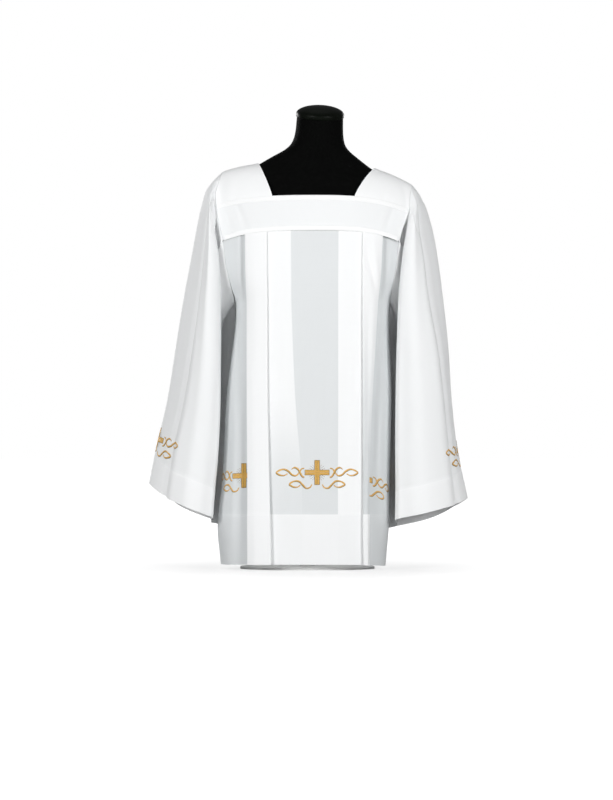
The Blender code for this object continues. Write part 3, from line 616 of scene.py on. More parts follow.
NECK_TILT_FORWARD = math.radians(13)
NECK_CUT_MIDDLE = Vector((-0.001, -0.011, 1.0205))
CAP_RADIUS = 0.0543
CAP_RIM = 0.0065
CAP_DOME = 0.0195
CAP_EDGE = 0.0012
CAP_DEPTH_STRETCH = 1.06
PIECE_GAP = 0.0003

# The embroidered motif, on one side of its upright middle line, in centimetres. A strand is stitched through
# its points from start to end. The cross stands in the middle, with short rays in its angles.
# Beside each pleat: how far outside the pleat's edge the cross has its middle, how much lower it is than the
# one in the middle, and how steeply the row of scrolls falls outwards.
SIDE_MOTIFS = {
    "front_right": (0.0120, 0.0075, 0.05),
    "front_left": (-0.0160, 0.010, 0.34),
    "back_right": (0.0060, 0.002, 0.08),
    "back_left": (0.0020, 0.003, 0.12),
}
# On each sleeve: how far round from the outer edge the cross is, how much higher, and how the row of scrolls rises.
SLEEVE_MOTIFS = {"right": (0.004, 0.008, 0.22), "left": (0.008, 0.012, -0.17)}
CROSS_ARM = 0.0272
CROSS_HALF_WIDTH = 0.0056
STEM_AND_LEAF = (
    (2.85, 0.95),
    (3.45, 0.80),
    (3.95, 0.05),
    (4.65, -0.68),
    (5.55, -0.50),
    (6.40, 0.28),
    (7.35, 0.72),
    (8.35, 0.48),
    (9.05, -0.02),
    (8.30, -0.56),
    (7.35, -0.66),
    (6.60, -0.30),
)
CROSSING_TENDRIL = (
    (2.80, -1.10),
    (3.35, -0.78),
    (3.80, 0.00),
    (4.25, 0.75),
    (4.95, 1.12),
    (5.60, 0.82),
)
LOWER_LEAF = (
    (1.15, -2.65),
    (1.60, -3.35),
    (2.45, -3.45),
    (3.20, -2.75),
    (4.00, -2.00),
    (5.10, -1.95),
    (6.15, -2.62),
    (5.15, -3.22),
    (4.25, -3.20),
    (3.75, -2.80),
)
STRANDS = (STEM_AND_LEAF, CROSSING_TENDRIL, LOWER_LEAF)
CENTIMETRE = 0.01
OUTLINE_SHIFT = 0.13


# Small sums


def mix(a, b, share):
    return a + (b - a) * share


def ease(share):
    share = min(max(share, 0.0), 1.0)
    return share * share * (3 - 2 * share)


def spread(start, end, count):
    """Evenly spaced values from start to end, both included."""
    return [mix(start, end, i / (count - 1)) for i in range(count)]


def read(rows, at):
    """The row of a table at any value of its first column: a smooth curve through every column."""
    rows = sorted(rows)
    keys = [row[0] for row in rows]
    at = min(max(at, keys[0]), keys[-1])
    i = max(k for k in range(len(rows) - 1) if keys[k] <= at)
    span = keys[i + 1] - keys[i]
    t = (at - keys[i]) / span
    low, high = max(i - 1, 0), min(i + 2, len(rows) - 1)
    values = []
    for column in range(len(rows[0])):
        before, after = rows[i][column], rows[i + 1][column]
        slope_before = (after - rows[low][column]) / (keys[i + 1] - keys[low])
        slope_after = (rows[high][column] - before) / (keys[high] - keys[i])
        values.append(
            (2 * t**3 - 3 * t**2 + 1) * before
            + (t**3 - 2 * t**2 + t) * span * slope_before
            + (3 * t**2 - 2 * t**3) * after
            + (t**3 - t**2) * span * slope_after
        )
    return type(rows[0])(*values)


def smooth_curve(points, count):
    """Points evenly spread along a smooth curve through a few points."""
    points = [Vector(point) for point in points]
    points = [2 * points[0] - points[1]] + points + [2 * points[-1] - points[-2]]
    fine = []
    for i in range(1, len(points) - 2):
        before, a, b, after = points[i - 1 : i + 3]
        for t in spread(0.0, 1.0, 13)[:-1]:
            fine.append(
                0.5
                * (
                    2 * a
                    + (b - before) * t
                    + (2 * before - 5 * a + 4 * b - after) * t**2
                    + (3 * a - before - 3 * b + after) * t**3
                )
            )
    fine.append(points[-2])
    run = running_length(fine)
    return [at_length(fine, run, length) for length in spread(0.0, run[-1], count)]


def running_length(points):
    """The length of a line of points, up to each of its points."""
    run = [0.0]
    for a, b in zip(points, points[1:]):
        run.append(run[-1] + (b - a).length)
    return run


def index_at(run, length):
    """The place in a line, as a whole number of points and a share, where it has this length."""
    low, high = 0, len(run) - 2
    while low < high:
        middle = (low + high + 1) // 2
        if run[middle] <= length:
            low = middle
        else:
            high = middle - 1
    span = max(run[low + 1] - run[low], 1e-9)
    return low + min(max((length - run[low]) / span, 0.0), 1.0)


def at_length(points, run, length):
    place = index_at(run, length)
    i = min(int(place), len(points) - 2)
    return points[i].lerp(points[i + 1], place - i)


def crease_depth(creases, x, z):
    """How far the creases push the cloth in at a place on it."""
    total = 0.0
    for crease in creases:
        along_x, along_z = crease.x_to - crease.x_from, crease.z_to - crease.z_from
        length_squared = along_x * along_x + along_z * along_z
        share = ((x - crease.x_from) * along_x + (z - crease.z_from) * along_z) / length_squared
        if not -0.25 < share < 1.25:
            continue
        middle = crease.x_from + along_x * share + crease.bow * math.sin(math.pi * min(max(share, 0.0), 1.0))
        offset = (x - middle) / crease.width
        if abs(offset) > 3:
            continue
        fade = ease((share + 0.25) / 0.5) * ease((1.25 - share) / 0.5)
        total += crease.depth * fade * math.exp(-offset * offset)
    return total


# The cloth as a grid of points


class ClothGrid:
    """A piece of cloth as rows of points, from its top to its bottom, and where places on it are."""

    def __init__(self, rows, layers_and_shade, hem, closed=False):
        self.rows = [[point + Vector((MIDDLE_X, 0.0, 0.0)) for point in row] for row in rows]
        self.layers_and_shade = layers_and_shade
        self.hem = hem
        self.closed = closed
        self.runs = [running_length(row + row[:1] if closed else row) for row in self.rows]
        columns = len(self.rows[0])
        self.falls = [running_length([row[j] for row in self.rows]) for j in range(columns)]

    def width(self):
        return max(run[-1] for run in self.runs)

    def length(self):
        return max(fall[-1] for fall in self.falls)

    def area(self):
        """The area of one side of the cloth."""
        total = 0.0
        for upper, lower in zip(self.rows, self.rows[1:]):
            count = len(upper) if self.closed else len(upper) - 1
            for j in range(count):
                a, b = upper[j], upper[(j + 1) % len(upper)]
                c, d = lower[(j + 1) % len(upper)], lower[j]
                total += (c - a).cross(d - b).length / 2
        return total

    def row_at(self, column, height):
        """The row, with a share, in which a column comes down to a height."""
        for i in range(len(self.rows) - 1):
            upper, lower = self.rows[i][column].z, self.rows[i + 1][column].z
            if upper >= height >= lower:
                return i + (upper - height) / max(upper - lower, 1e-9)
        return len(self.rows) - 1.001

    def on_row(self, i, column, along):
        """The point on row i that lies some way along the cloth from a column."""
        row, run = self.rows[i], self.runs[i]
        length = run[column] + along
        if self.closed:
            length %= run[-1]
        place = index_at(run, length)
        j = int(place)
        beside = row[(j + 1) % len(row)] if self.closed else row[min(j + 1, len(row) - 1)]
        return row[j % len(row)].lerp(beside, place - j)

    def place(self, column, along, row):
        """The point some way along the cloth from a column, on a row that may lie between two."""
        i = min(max(int(row), 0), len(self.rows) - 2)
        return self.on_row(i, column, along).lerp(self.on_row(i + 1, column, along), row - i)

    def spot(self, column, along, row, lift):
        """That point moved out of the cloth, and the direction that points out of the cloth there."""
        small, part = 0.002, 0.3
        across = self.place(column, along + small, row) - self.place(column, along - small, row)
        down = self.place(column, along, row + part) - self.place(column, along, row - part)
        out = down.cross(across).normalized()
        return self.place(column, along, row) + out * lift, out


def sheet_object(name, grid, thickness, hem_thickness, finish):
    """A thin shell of cloth over a grid, thicker where the hem is turned up."""
    columns = len(grid.rows[0])
    points = [tuple(point) for row in grid.rows for point in row]
    faces, corners = [], []
    for i in range(len(grid.rows) - 1):
        for j in range(columns if grid.closed else columns - 1):
            k = (j + 1) % columns
            faces.append((i * columns + j, (i + 1) * columns + j, (i + 1) * columns + k, i * columns + k))
            left = (grid.runs[i][j], grid.runs[i + 1][j])
            right = (grid.runs[i][j + 1], grid.runs[i + 1][j + 1]) if j + 1 < len(grid.runs[i]) else left
            fall = (grid.falls[j][i], grid.falls[j][i + 1], grid.falls[k][i + 1], grid.falls[k][i])
            corners += [(left[0], -fall[0]), (left[1], -fall[1]), (right[1], -fall[2]), (right[0], -fall[3])]
    mesh = bpy.data.meshes.new(name)
    mesh.from_pydata(points, [], faces)
    weave = mesh.uv_layers.new(name="weave")
    weave.uv.foreach_set("vector", [value for corner in corners for value in corner])
    layers_and_shade = mesh.attributes.new("layers_and_shade", "FLOAT", "POINT")
    layers_and_shade.data.foreach_set("value", [value for row in grid.layers_and_shade for value in row])
    mesh.polygons.foreach_set("use_smooth", [True] * len(faces))
    obj = bpy.data.objects.new(name, mesh)
    bpy.context.scene.collection.objects.link(obj)
    wall = obj.modifiers.new("cloth", "SOLIDIFY")
    wall.offset = 0.0
    wall.thickness = thickness
    if grid.hem is not None:
        turned_up = obj.vertex_groups.new(name="turned_up")
        for i, row in enumerate(grid.hem):
            for j, share in enumerate(row):
                if share > 0:
                    turned_up.add([i * columns + j], share, "REPLACE")
        wall.thickness = hem_thickness
        wall.vertex_group = "turned_up"
        wall.thickness_vertex_group = thickness / hem_thickness
    obj.data.materials.append(finish)
    return settled(obj)


def settled(obj, sharp=50.0):
    """The object with its modifiers made part of its mesh, and its sharp edges marked."""
    shown = obj.evaluated_get(bpy.context.evaluated_depsgraph_get())
    mesh = bpy.data.meshes.new_from_object(shown)
    obj.modifiers.clear()
    old = obj.data
    obj.data = mesh
    bpy.data.meshes.remove(old)
    mesh.name = obj.name
    mesh.polygons.foreach_set("use_smooth", [True] * len(mesh.polygons))
    mesh.set_sharp_from_angle(angle=math.radians(sharp))
    return obj


def stand_for(obj, slot, *nodes):
    """Fastens a finished piece to the frame, in place of the plain nodes."""
    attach(obj, "root")
    if nodes:
        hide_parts(*nodes)
    return obj


# Materials


def new_material(name):
    """A material with its shader and node tree."""
    made = bpy.data.materials.new(name)
    made.use_nodes = True
    return made, made.node_tree, made.node_tree.nodes["Principled BSDF"]


def node(tree, kind, links=(), **values):
    """A node with its settings and its input links: pairs of an input's name or number and an output."""
    made = tree.nodes.new(kind)
    for key, value in values.items():
        if key.startswith("in_"):
            made.inputs[int(key[3:])].default_value = value
        else:
            setattr(made, key, value)
    for socket, source in links:
        tree.links.new(source, made.inputs[socket])
    return made


def add_bump(tree, shader, height, distance, strength, before=None):
    links = [("Height", height)]
    if before is not None:
        links.append(("Normal", before.outputs["Normal"]))
    bump = node(tree, "ShaderNodeBump", links)
    bump.inputs["Distance"].default_value = distance
    bump.inputs["Strength"].default_value = strength
    tree.links.new(bump.outputs["Normal"], shader.inputs["Normal"])
    return bump


def ramp(tree, source, stops):
    """A colour ramp between (place, colour) stops."""
    made = node(tree, "ShaderNodeValToRGB", [("Fac", source)])
    elements = made.color_ramp.elements
    while len(elements) < len(stops):
        elements.new(0.5)
    for element, (place, colour) in zip(elements, stops):
        element.position = place
        element.color = (*colour, 1.0)
    return made


def plain_weave(tree, threads):
    """The height of a plain weave, from 0 to 1, in the cloth's own directions, and those directions."""
    place = node(tree, "ShaderNodeUVMap", uv_map="weave")
    apart = node(tree, "ShaderNodeSeparateXYZ", [(0, place.outputs[0])])
    waves = []
    for axis in (0, 1):
        turned = node(tree, "ShaderNodeMath", [(0, apart.outputs[axis])], operation="MULTIPLY", in_1=threads * math.pi)
        waves.append(node(tree, "ShaderNodeMath", [(0, turned.outputs[0])], operation="SINE"))
    both = node(tree, "ShaderNodeMath", [(0, waves[0].outputs[0]), (1, waves[1].outputs[0])], operation="MULTIPLY")
    height = node(tree, "ShaderNodeMath", [(0, both.outputs[0])], operation="MULTIPLY_ADD", in_1=0.5, in_2=0.5)
    return height, place


def yarn_streaks(tree, place, along, across, detail=3.0):
    """Uneven yarns: noise that is drawn out one way."""
    drawn = node(tree, "ShaderNodeMapping", [("Vector", place.outputs[0])])
    drawn.inputs["Scale"].default_value = (across, along, 1.0)
    return node(tree, "ShaderNodeTexNoise", [("Vector", drawn.outputs[0])], in_2=1.0, in_3=detail, in_4=0.55)


def cloth_material(name, thin, full, threads, sheen):
    """White plain-woven cloth: whiter where layers lie behind it, darker where painted shade is set on it, with uneven
    yarns and a fine weave.
    """
    made, tree, shader = new_material(name)
    layers_and_shade = node(tree, "ShaderNodeAttribute", attribute_name="layers_and_shade")
    # The fullness attribute sets how white the cloth is, from the layers behind it and from painted shade.
    base = node(tree, "ShaderNodeMix", [(0, layers_and_shade.outputs["Fac"])], data_type="RGBA")
    base.inputs[6].default_value = (*thin, 1.0)
    base.inputs[7].default_value = (*full, 1.0)
    height, place = plain_weave(tree, threads)
    warp = yarn_streaks(tree, place, 9.0, 420.0)
    weft = yarn_streaks(tree, place, 420.0, 9.0)
    both = node(tree, "ShaderNodeMath", [(0, warp.outputs[0]), (1, weft.outputs[0])], operation="ADD")
    shade = node(tree, "ShaderNodeMapRange", [(0, both.outputs[0])], in_1=0.7, in_2=1.3, in_3=0.992, in_4=1.004)
    shaded = node(
        tree,
        "ShaderNodeVectorMath",
        [(0, base.outputs[2]), (1, shade.outputs[0])],
        operation="MULTIPLY",
    )
    tree.links.new(shaded.outputs[0], shader.inputs["Base Color"])
    rough = node(tree, "ShaderNodeMapRange", [(0, warp.outputs[0])], in_1=0.3, in_2=0.7, in_3=0.74, in_4=0.86)
    tree.links.new(rough.outputs[0], shader.inputs["Roughness"])
    shader.inputs["Specular IOR Level"].default_value = 0.30
    shader.inputs["Sheen Weight"].default_value = sheen
    shader.inputs["Sheen Roughness"].default_value = 0.45
    limp = yarn_streaks(tree, place, 7.0, 30.0, 2.0)
    soft = add_bump(tree, shader, limp.outputs[0], 0.0012, 0.35)
    yarns = add_bump(tree, shader, both.outputs[0], 0.00005, 0.15, soft)
    add_bump(tree, shader, height.outputs[0], 0.00006, 0.30, yarns)
    return made


def thread_material(name, light, dark, per_metre, gloss):
    """Embroidery thread laid side by side: fine ridges across the satin stitch, painted shade in the grooves between
    them and a painted highlight on their crests, and a varied tone.
    """
    made, tree, shader = new_material(name)
    place = node(tree, "ShaderNodeUVMap", uv_map="thread")
    apart = node(tree, "ShaderNodeSeparateXYZ", [(0, place.outputs[0])])
    slant = node(
        tree,
        "ShaderNodeMath",
        [(0, apart.outputs[1]), (2, apart.outputs[0])],
        operation="MULTIPLY_ADD",
        in_1=0.45,
    )
    turns = node(tree, "ShaderNodeMath", [(0, slant.outputs[0])], operation="MULTIPLY", in_1=per_metre * math.pi)
    wave = node(tree, "ShaderNodeMath", [(0, turns.outputs[0])], operation="SINE")
    ridge = node(tree, "ShaderNodeMath", [(0, wave.outputs[0])], operation="ABSOLUTE")
    uneven = yarn_streaks(tree, place, 260.0, 1500.0, 2.0)
    tone = node(
        tree,
        "ShaderNodeMath",
        [(0, ridge.outputs[0]), (1, uneven.outputs[0])],
        operation="MULTIPLY",
    )
    # Painted shade and highlight: the ramp gives the grooves between the threads the dark colour and their crests a
    # colour lighter than the thread, with random tone from the noise.
    colours = ramp(tree, tone.outputs[0], ((0.10, dark), (0.42, light), (0.80, tuple(min(1.15 * c, 1.0) for c in light))))
    tree.links.new(colours.outputs[0], shader.inputs["Base Color"])
    rough = node(tree, "ShaderNodeMapRange", [(0, uneven.outputs[0])], in_1=0.3, in_2=0.7, in_3=gloss, in_4=gloss + 0.14)
    tree.links.new(rough.outputs[0], shader.inputs["Roughness"])
    shader.inputs["Specular IOR Level"].default_value = 0.6
    shader.inputs["Sheen Weight"].default_value = 0.15
    add_bump(tree, shader, ridge.outputs[0], 0.00025, 0.8)
    return made


def sewing_thread_material():
    """White twisted sewing thread, with painted shade in the grooves of its twist."""
    made, tree, shader = new_material("white sewing thread")
    place = node(tree, "ShaderNodeTexCoord")
    twist = node(tree, "ShaderNodeTexWave", [("Vector", place.outputs["Object"])], bands_direction="DIAGONAL")
    twist.inputs["Scale"].default_value = 900.0
    # Painted shade: the twist's grooves, where the bump is low, are darker.
    colours = ramp(tree, twist.outputs[0], ((0.0, (0.74, 0.76, 0.77)), (1.0, (0.93, 0.93, 0.93))))
    tree.links.new(colours.outputs[0], shader.inputs["Base Color"])
    shader.inputs["Roughness"].default_value = 0.6
    shader.inputs["Sheen Weight"].default_value = 0.1
    add_bump(tree, shader, twist.outputs[0], 0.00008, 0.5)
    return made


def jersey_material(colour):
    """Black jersey stretched over the form: fine upright wales, lint and a faint bloom."""
    made, tree, shader = new_material("black jersey")
    place = node(tree, "ShaderNodeUVMap", uv_map="weave")
    knit = node(tree, "ShaderNodeTexWave", [("Vector", place.outputs[0])], wave_type="BANDS", bands_direction="X")
    knit.inputs["Scale"].default_value = 260.0
    knit.inputs["Distortion"].default_value = 0.6
    lint = node(tree, "ShaderNodeTexNoise", [("Vector", place.outputs[0])], in_2=90.0, in_3=5.0, in_4=0.6)
    lighter = tuple(value * 2.6 for value in colour)
    colours = ramp(tree, lint.outputs[0], ((0.42, colour), (0.80, lighter)))
    tree.links.new(colours.outputs[0], shader.inputs["Base Color"])
    rough = node(tree, "ShaderNodeMapRange", [(0, lint.outputs[0])], in_1=0.3, in_2=0.7, in_3=0.72, in_4=0.90)
    tree.links.new(rough.outputs[0], shader.inputs["Roughness"])
    shader.inputs["Specular IOR Level"].default_value = 0.04
    shader.inputs["Sheen Weight"].default_value = 0.003
    shader.inputs["Sheen Roughness"].default_value = 0.35
    add_bump(tree, shader, knit.outputs[0], 0.00015, 0.5)
    return made


def lacquer_material(colour):
    """Black lacquered wood: a satin coat over faint grain."""
    made, tree, shader = new_material("black lacquered wood")
    place = node(tree, "ShaderNodeTexCoord")
    drawn = node(tree, "ShaderNodeMapping", [("Vector", place.outputs["Object"])])
    drawn.inputs["Scale"].default_value = (14.0, 90.0, 90.0)
    grain = node(tree, "ShaderNodeTexNoise", [("Vector", drawn.outputs[0])], in_2=1.0, in_3=6.0, in_4=0.65)
    lighter = tuple(value * 2.2 for value in colour)
    colours = ramp(tree, grain.outputs[0], ((0.35, colour), (0.75, lighter)))
    tree.links.new(colours.outputs[0], shader.inputs["Base Color"])
    rough = node(tree, "ShaderNodeMapRange", [(0, grain.outputs[0])], in_1=0.3, in_2=0.7, in_3=0.34, in_4=0.50)
    tree.links.new(rough.outputs[0], shader.inputs["Roughness"])
    shader.inputs["Specular IOR Level"].default_value = 0.05
    shader.inputs["Coat Weight"].default_value = 0.01
    shader.inputs["Coat Roughness"].default_value = 0.28
    add_bump(tree, shader, grain.outputs[0], 0.0002, 0.25)
    return made


def enamel_material(colour):
    """White painted steel: satin paint with a fine orange-peel surface and a few dull patches."""
    made, tree, shader = new_material("white painted steel")
    place = node(tree, "ShaderNodeTexCoord")
    peel = node(tree, "ShaderNodeTexNoise", [("Vector", place.outputs["Object"])], in_2=700.0, in_3=2.0, in_4=0.5)
    patches = node(tree, "ShaderNodeTexNoise", [("Vector", place.outputs["Object"])], in_2=22.0, in_3=4.0, in_4=0.6)
    duller = tuple(value * 0.93 for value in colour)
    colours = ramp(tree, patches.outputs[0], ((0.35, duller), (0.65, colour)))
    tree.links.new(colours.outputs[0], shader.inputs["Base Color"])
    rough = node(tree, "ShaderNodeMapRange", [(0, patches.outputs[0])], in_1=0.3, in_2=0.7, in_3=0.34, in_4=0.48)
    tree.links.new(rough.outputs[0], shader.inputs["Roughness"])
    shader.inputs["Metallic"].default_value = 0.0
    shader.inputs["Coat Weight"].default_value = 0.2
    add_bump(tree, shader, peel.outputs[0], 0.00015, 0.2)
    return made


def finish_of(name, make, *values):
    """The material of this name, made the first time it is asked for."""
    return bpy.data.materials.get(name) or make(*values)


def white_cloth():
    cloth = bpy.context.scene.surplice_cloth
    values = (cloth.thin_colour[:], cloth.full_colour[:], cloth.threads, cloth.sheen)
    return finish_of("white surplice cloth", cloth_material, "white surplice cloth", *values)


def white_tape():
    cloth, tape = bpy.context.scene.surplice_cloth, bpy.context.scene.surplice_tape
    values = (tape.colour[:], tape.colour[:], cloth.threads * 0.8, cloth.sheen)
    return finish_of("white folded tape", cloth_material, "white folded tape", *values)


# The yoke's arch


def ridge_height(x):
    rows = RIDGE_RIGHT if x < 0 else RIDGE_LEFT
    return read(rows, abs(x)).height


def arch_point(x, angle, lift=0.0):
    """A point of the yoke's surface. angle is 0 on the ridge, negative in front, and a right angle at the foot."""
    depth = ARCH_FRONT_DEPTH if angle < 0 else ARCH_BACK_DEPTH
    depth = depth * math.sqrt(1 - (x / ARCH_HALF_WIDTH) ** 2) + lift
    rise = ridge_height(x) - ARCH_FOOT + lift
    return Vector((x, depth * math.sin(angle), ARCH_FOOT + rise * math.cos(angle)))


def arch_angle(x, height):
    """The angle at which the arch comes down to a height, as a positive number."""
    return math.acos((height - ARCH_FOOT) / (ridge_height(x) - ARCH_FOOT))


def seam_height(seam, x):
    """The height of a seam line, which hangs lower towards its ends."""
    reach, drop = (ARMHOLE_RIGHT.front, seam.drop_right) if x < 0 else (ARMHOLE_LEFT.front, seam.drop_left)
    return seam.height - drop * (abs(x) / reach) ** seam.power


def band_edge(side, height_share, way):
    """How far out a yoke band ends at a share of its height, from its top to its bottom."""
    armhole, bottom = (ARMHOLE_RIGHT, YOKE_END_RIGHT) if side < 0 else (ARMHOLE_LEFT, YOKE_END_LEFT)
    top = armhole.front if way < 0 else armhole.back
    return side * mix(top, bottom, height_share)


def neck_bend(turn):
    """How far the neck edge has come in at a share of the way down: nearly a straight line as seen from the front."""
    return 1 - (1 - turn**1.9) ** 1.12


def shoulder_grid(side):
    """A shoulder piece: from the front neck seam over the ridge to the back neck seam."""
    neck, armhole = (NECK_RIGHT, ARMHOLE_RIGHT) if side < 0 else (NECK_LEFT, ARMHOLE_LEFT)
    rows = []
    for turn in spread(-1.0, 1.0, 57):
        inner = mix(neck.ridge, neck.front if turn < 0 else neck.back, neck_bend(abs(turn)))
        outer = mix(armhole.ridge, armhole.front if turn < 0 else armhole.back, ease(abs(turn)))
        seam = FRONT_NECK_SEAM if turn < 0 else BACK_NECK_SEAM
        row = []
        for x in spread(side * inner, side * outer, 33):
            angle = turn * arch_angle(x, seam_height(seam, x) + SHELL_GAP)
            flat = arch_point(x, angle)
            row.append(arch_point(x, angle, -crease_depth(SHOULDER_CREASES, x, flat.z)))
        rows.append(row if side > 0 else row[::-1])
    return ClothGrid(rows[::-1], [[1.0] * len(row) for row in rows], None)


def band_columns(count):
    """Shares across a band, closer together near both ends, where it curves round the shoulders."""
    return [math.sin(math.pi * (i / (count - 1) - 0.5)) for i in range(count)]


YOKE_FULLNESS = 0.78


def yoke_grid(neck_seam, yoke_seam, way):
    """The straight band under the neckline. way is -1 in front and 1 behind."""
    rows = []
    for share in spread(0.0, 1.0, 17):
        row = []
        for across in band_columns(121):
            side = -1 if across < 0 else 1
            x = abs(across) * band_edge(side, share, way)
            top = seam_height(neck_seam, x) - SHELL_GAP
            bottom = seam_height(yoke_seam, x) + SHELL_GAP
            height = mix(top, bottom, share)
            depth = crease_depth(YOKE_CREASES, x * -way, height)
            row.append(arch_point(x, way * arch_angle(x, height), -depth))
        rows.append(row[:: -way])
    return ClothGrid(rows, [[YOKE_FULLNESS] * len(row) for row in rows], None)


def tape_lines(seam, above, level_share, way, width, count):
    """The top and the bottom line of a tape along a seam: pairs of a place across and a height."""
    lines = []
    for height_above in (above, above - width):
        line = []
        for across in band_columns(count):
            side = -1 if across < 0 else 1
            x = abs(across) * (band_edge(side, level_share, way) - side * TAPE_END)
            line.append((x, seam_height(seam, x) + height_above))
        lines.append(line)
    return lines


# The pleated panels


def outline(level, side, turn):
    """The pleat's face as a curve: (distance across, depth) for a turn from 0 at the middle to a right angle."""
    width = side.width + SIDE_LAYER * level.pitch
    power = 2 / level.squareness
    return Vector((width * max(math.sin(turn), 0.0) ** power, level.depth * max(math.cos(turn), 0.0) ** power))


def turn_at(level, side, x):
    """The turn at which the outline is this far from the middle."""
    width = side.width + SIDE_LAYER * level.pitch
    return math.asin(min(x / width, 1.0) ** (level.squareness / 2))


def layer_point(level, side, turn, layer, along=0.0):
    """The outline's point moved inwards by a number of layers, and along the curve by a distance."""
    small = 0.0005
    low, high = max(turn - small, 0.0), min(turn + small, math.pi / 2)
    tangent = (outline(level, side, high) - outline(level, side, low)).normalized()
    normal = Vector((-tangent.y, tangent.x))
    return outline(level, side, turn) - normal * layer * level.pitch + tangent * along


# One stop of the cloth's way through the pleats: how far across, in which layer, how far past that place along
# the curve, and on which part of the cloth it lies.
Stop = namedtuple("Stop", "across layer along part")
EDGE_SOFTNESS = 0.0007
FACE_DIP = 0.85
RETURN_RISE = 1.75


def rounded_fold(x, layer_from, layer_to, reach, part):
    """The half turn of a fold, from one layer round to another."""
    middle, half = (layer_from + layer_to) / 2, (layer_to - layer_from) / 2
    stops = []
    for i in range(1, 8):
        turn = math.pi * i / 8
        stops.append(Stop(x, middle - half * math.cos(turn), reach * math.sin(turn), part))
    return stops


def pleat_stops(level, side):
    """The cloth's way through one half of a panel, from the middle to where the side begins.

    The middle face is two layers down. It turns under the pleat, comes back to the pleat's inner edge, and
    crosses over as the pleat's face. Past the outer edge the deep inlay runs back behind the middle face,
    turns, and comes out again as the side.
    """
    fold = level.pitch / 2
    inlay, inner = side.inlay + fold, side.inner + fold
    tuck, outer = side.tuck - fold, side.outer - fold
    stops = [Stop(x, 2.0, 0.0, "single") for x in spread(0.0, side.inlay - EDGE_SOFTNESS, 14)[1:]]
    stops += [Stop(x, 2.0, 0.0, "middle") for x in spread(side.inlay + EDGE_SOFTNESS, side.inner, 13)]
    stops += [Stop(x, 2.0, 0.0, "middle") for x in spread(side.inner, tuck, 6)[1:]]
    stops += rounded_fold(tuck, 2.0, 1.0, fold, "hidden")
    stops += [Stop(x, 1.0, 0.0, "hidden") for x in spread(tuck, inner, 6)]
    stops += rounded_fold(inner, 1.0, 0.0, -fold, "face")
    for x in spread(inner, outer, 13):
        dip = FACE_DIP * ease((x - side.tuck) / (outer - side.tuck)) ** 2
        stops.append(Stop(x, dip, 0.0, "face"))
    stops += rounded_fold(outer, FACE_DIP, RETURN_RISE, fold * 0.8, "face")
    for x in spread(outer, inlay, 19):
        sunk = ease((outer - x) / (outer - side.tuck))
        stops.append(Stop(x, mix(RETURN_RISE, 3.0, sunk), 0.0, "hidden"))
    stops += rounded_fold(inlay, 3.0, 4.0, -fold, "hidden")
    stops += [Stop(x, 4.0, 0.0, "hidden") for x in spread(inlay, side.outer - 0.006, 16)]
    return stops


SIDE_COLUMNS = 30


def side_turns(level, side):
    """The turns of the side's columns, from behind the pleat's outer edge to where the cloth ends."""
    start = turn_at(level, side, side.outer - 0.003)
    end = turn_at(level, side, side.edge * (side.width + SIDE_LAYER * level.pitch))
    return spread(start, end, SIDE_COLUMNS)


# How white each part of a panel is painted, above the hem and in it, from the layers of cloth behind it. The side's low
# values are painted shade, where the side panels turn away from the light.
LAYERS_AND_SHADE = {"single": 0.30, "middle": 1.0, "hidden": 1.0, "face": 1.0, "side": 0.12}
HEM_LAYERS_AND_SHADE = {"single": 0.95, "middle": 0.92, "hidden": 1.0, "face": 1.0, "side": 0.22}


# Painted shade lower down, where the cloth turns away from the light: for a panel's way, its half and its part, the
# least share of its whiteness there and the heights between which it changes.
PAINTED_SHADE_LOWER_DOWN = {(-1, -1, "middle"): (0.40, 0.14, 0.42), (-1, 1, "face"): (0.14, 0.16, 0.68)}


def layers_and_shade_at(part, way, direction, height, in_hem):
    """How white a place of a panel is painted: from the layers behind it, with painted shade on the sides and on some
    parts lower down.
    """
    least, low, high = PAINTED_SHADE_LOWER_DOWN.get((way, direction, part), (1.0, 0.0, 1.0))
    if in_hem:
        return HEM_LAYERS_AND_SHADE[part]
    return LAYERS_AND_SHADE[part] * mix(least, 1.0, ease((height - low) / (high - low)))


def panel_height(height, side, x):
    """The cloth's height at a distance across: the level's own, hung lower towards its end."""
    return height - side.drop * (abs(x) / (side.width * side.edge)) ** 3.5


def half_section(levels, table, direction, height, creases, way):
    """One half of a panel's section at a height: a list of (distance across, depth, part)."""
    level, side = read(levels, height), read(table, height)

    def pushed(turn, layer, along):
        x = outline(level, side, turn).x * direction
        push = crease_depth(creases, x, height) / level.pitch
        return layer_point(level, side, turn, layer + push, along)

    section = []
    for stop in pleat_stops(level, side):
        place = pushed(turn_at(level, side, stop.across), stop.layer, stop.along)
        section.append((place.x, place.y, stop.part))
    for turn in side_turns(level, side):
        place = pushed(turn, SIDE_LAYER, 0.0)
        section.append((place.x, place.y, "side"))
    return section, level, side


def row_heights(top, bottom, hem, spacing):
    """Heights of the rows of a panel, with a pair of rows close together where the hem's edge shows."""
    hem_top = bottom + hem
    above = spread(top, hem_top + EDGE_SOFTNESS, round((top - hem_top) / spacing))
    below = spread(hem_top - EDGE_SOFTNESS, bottom, round(hem / spacing))
    return above + below


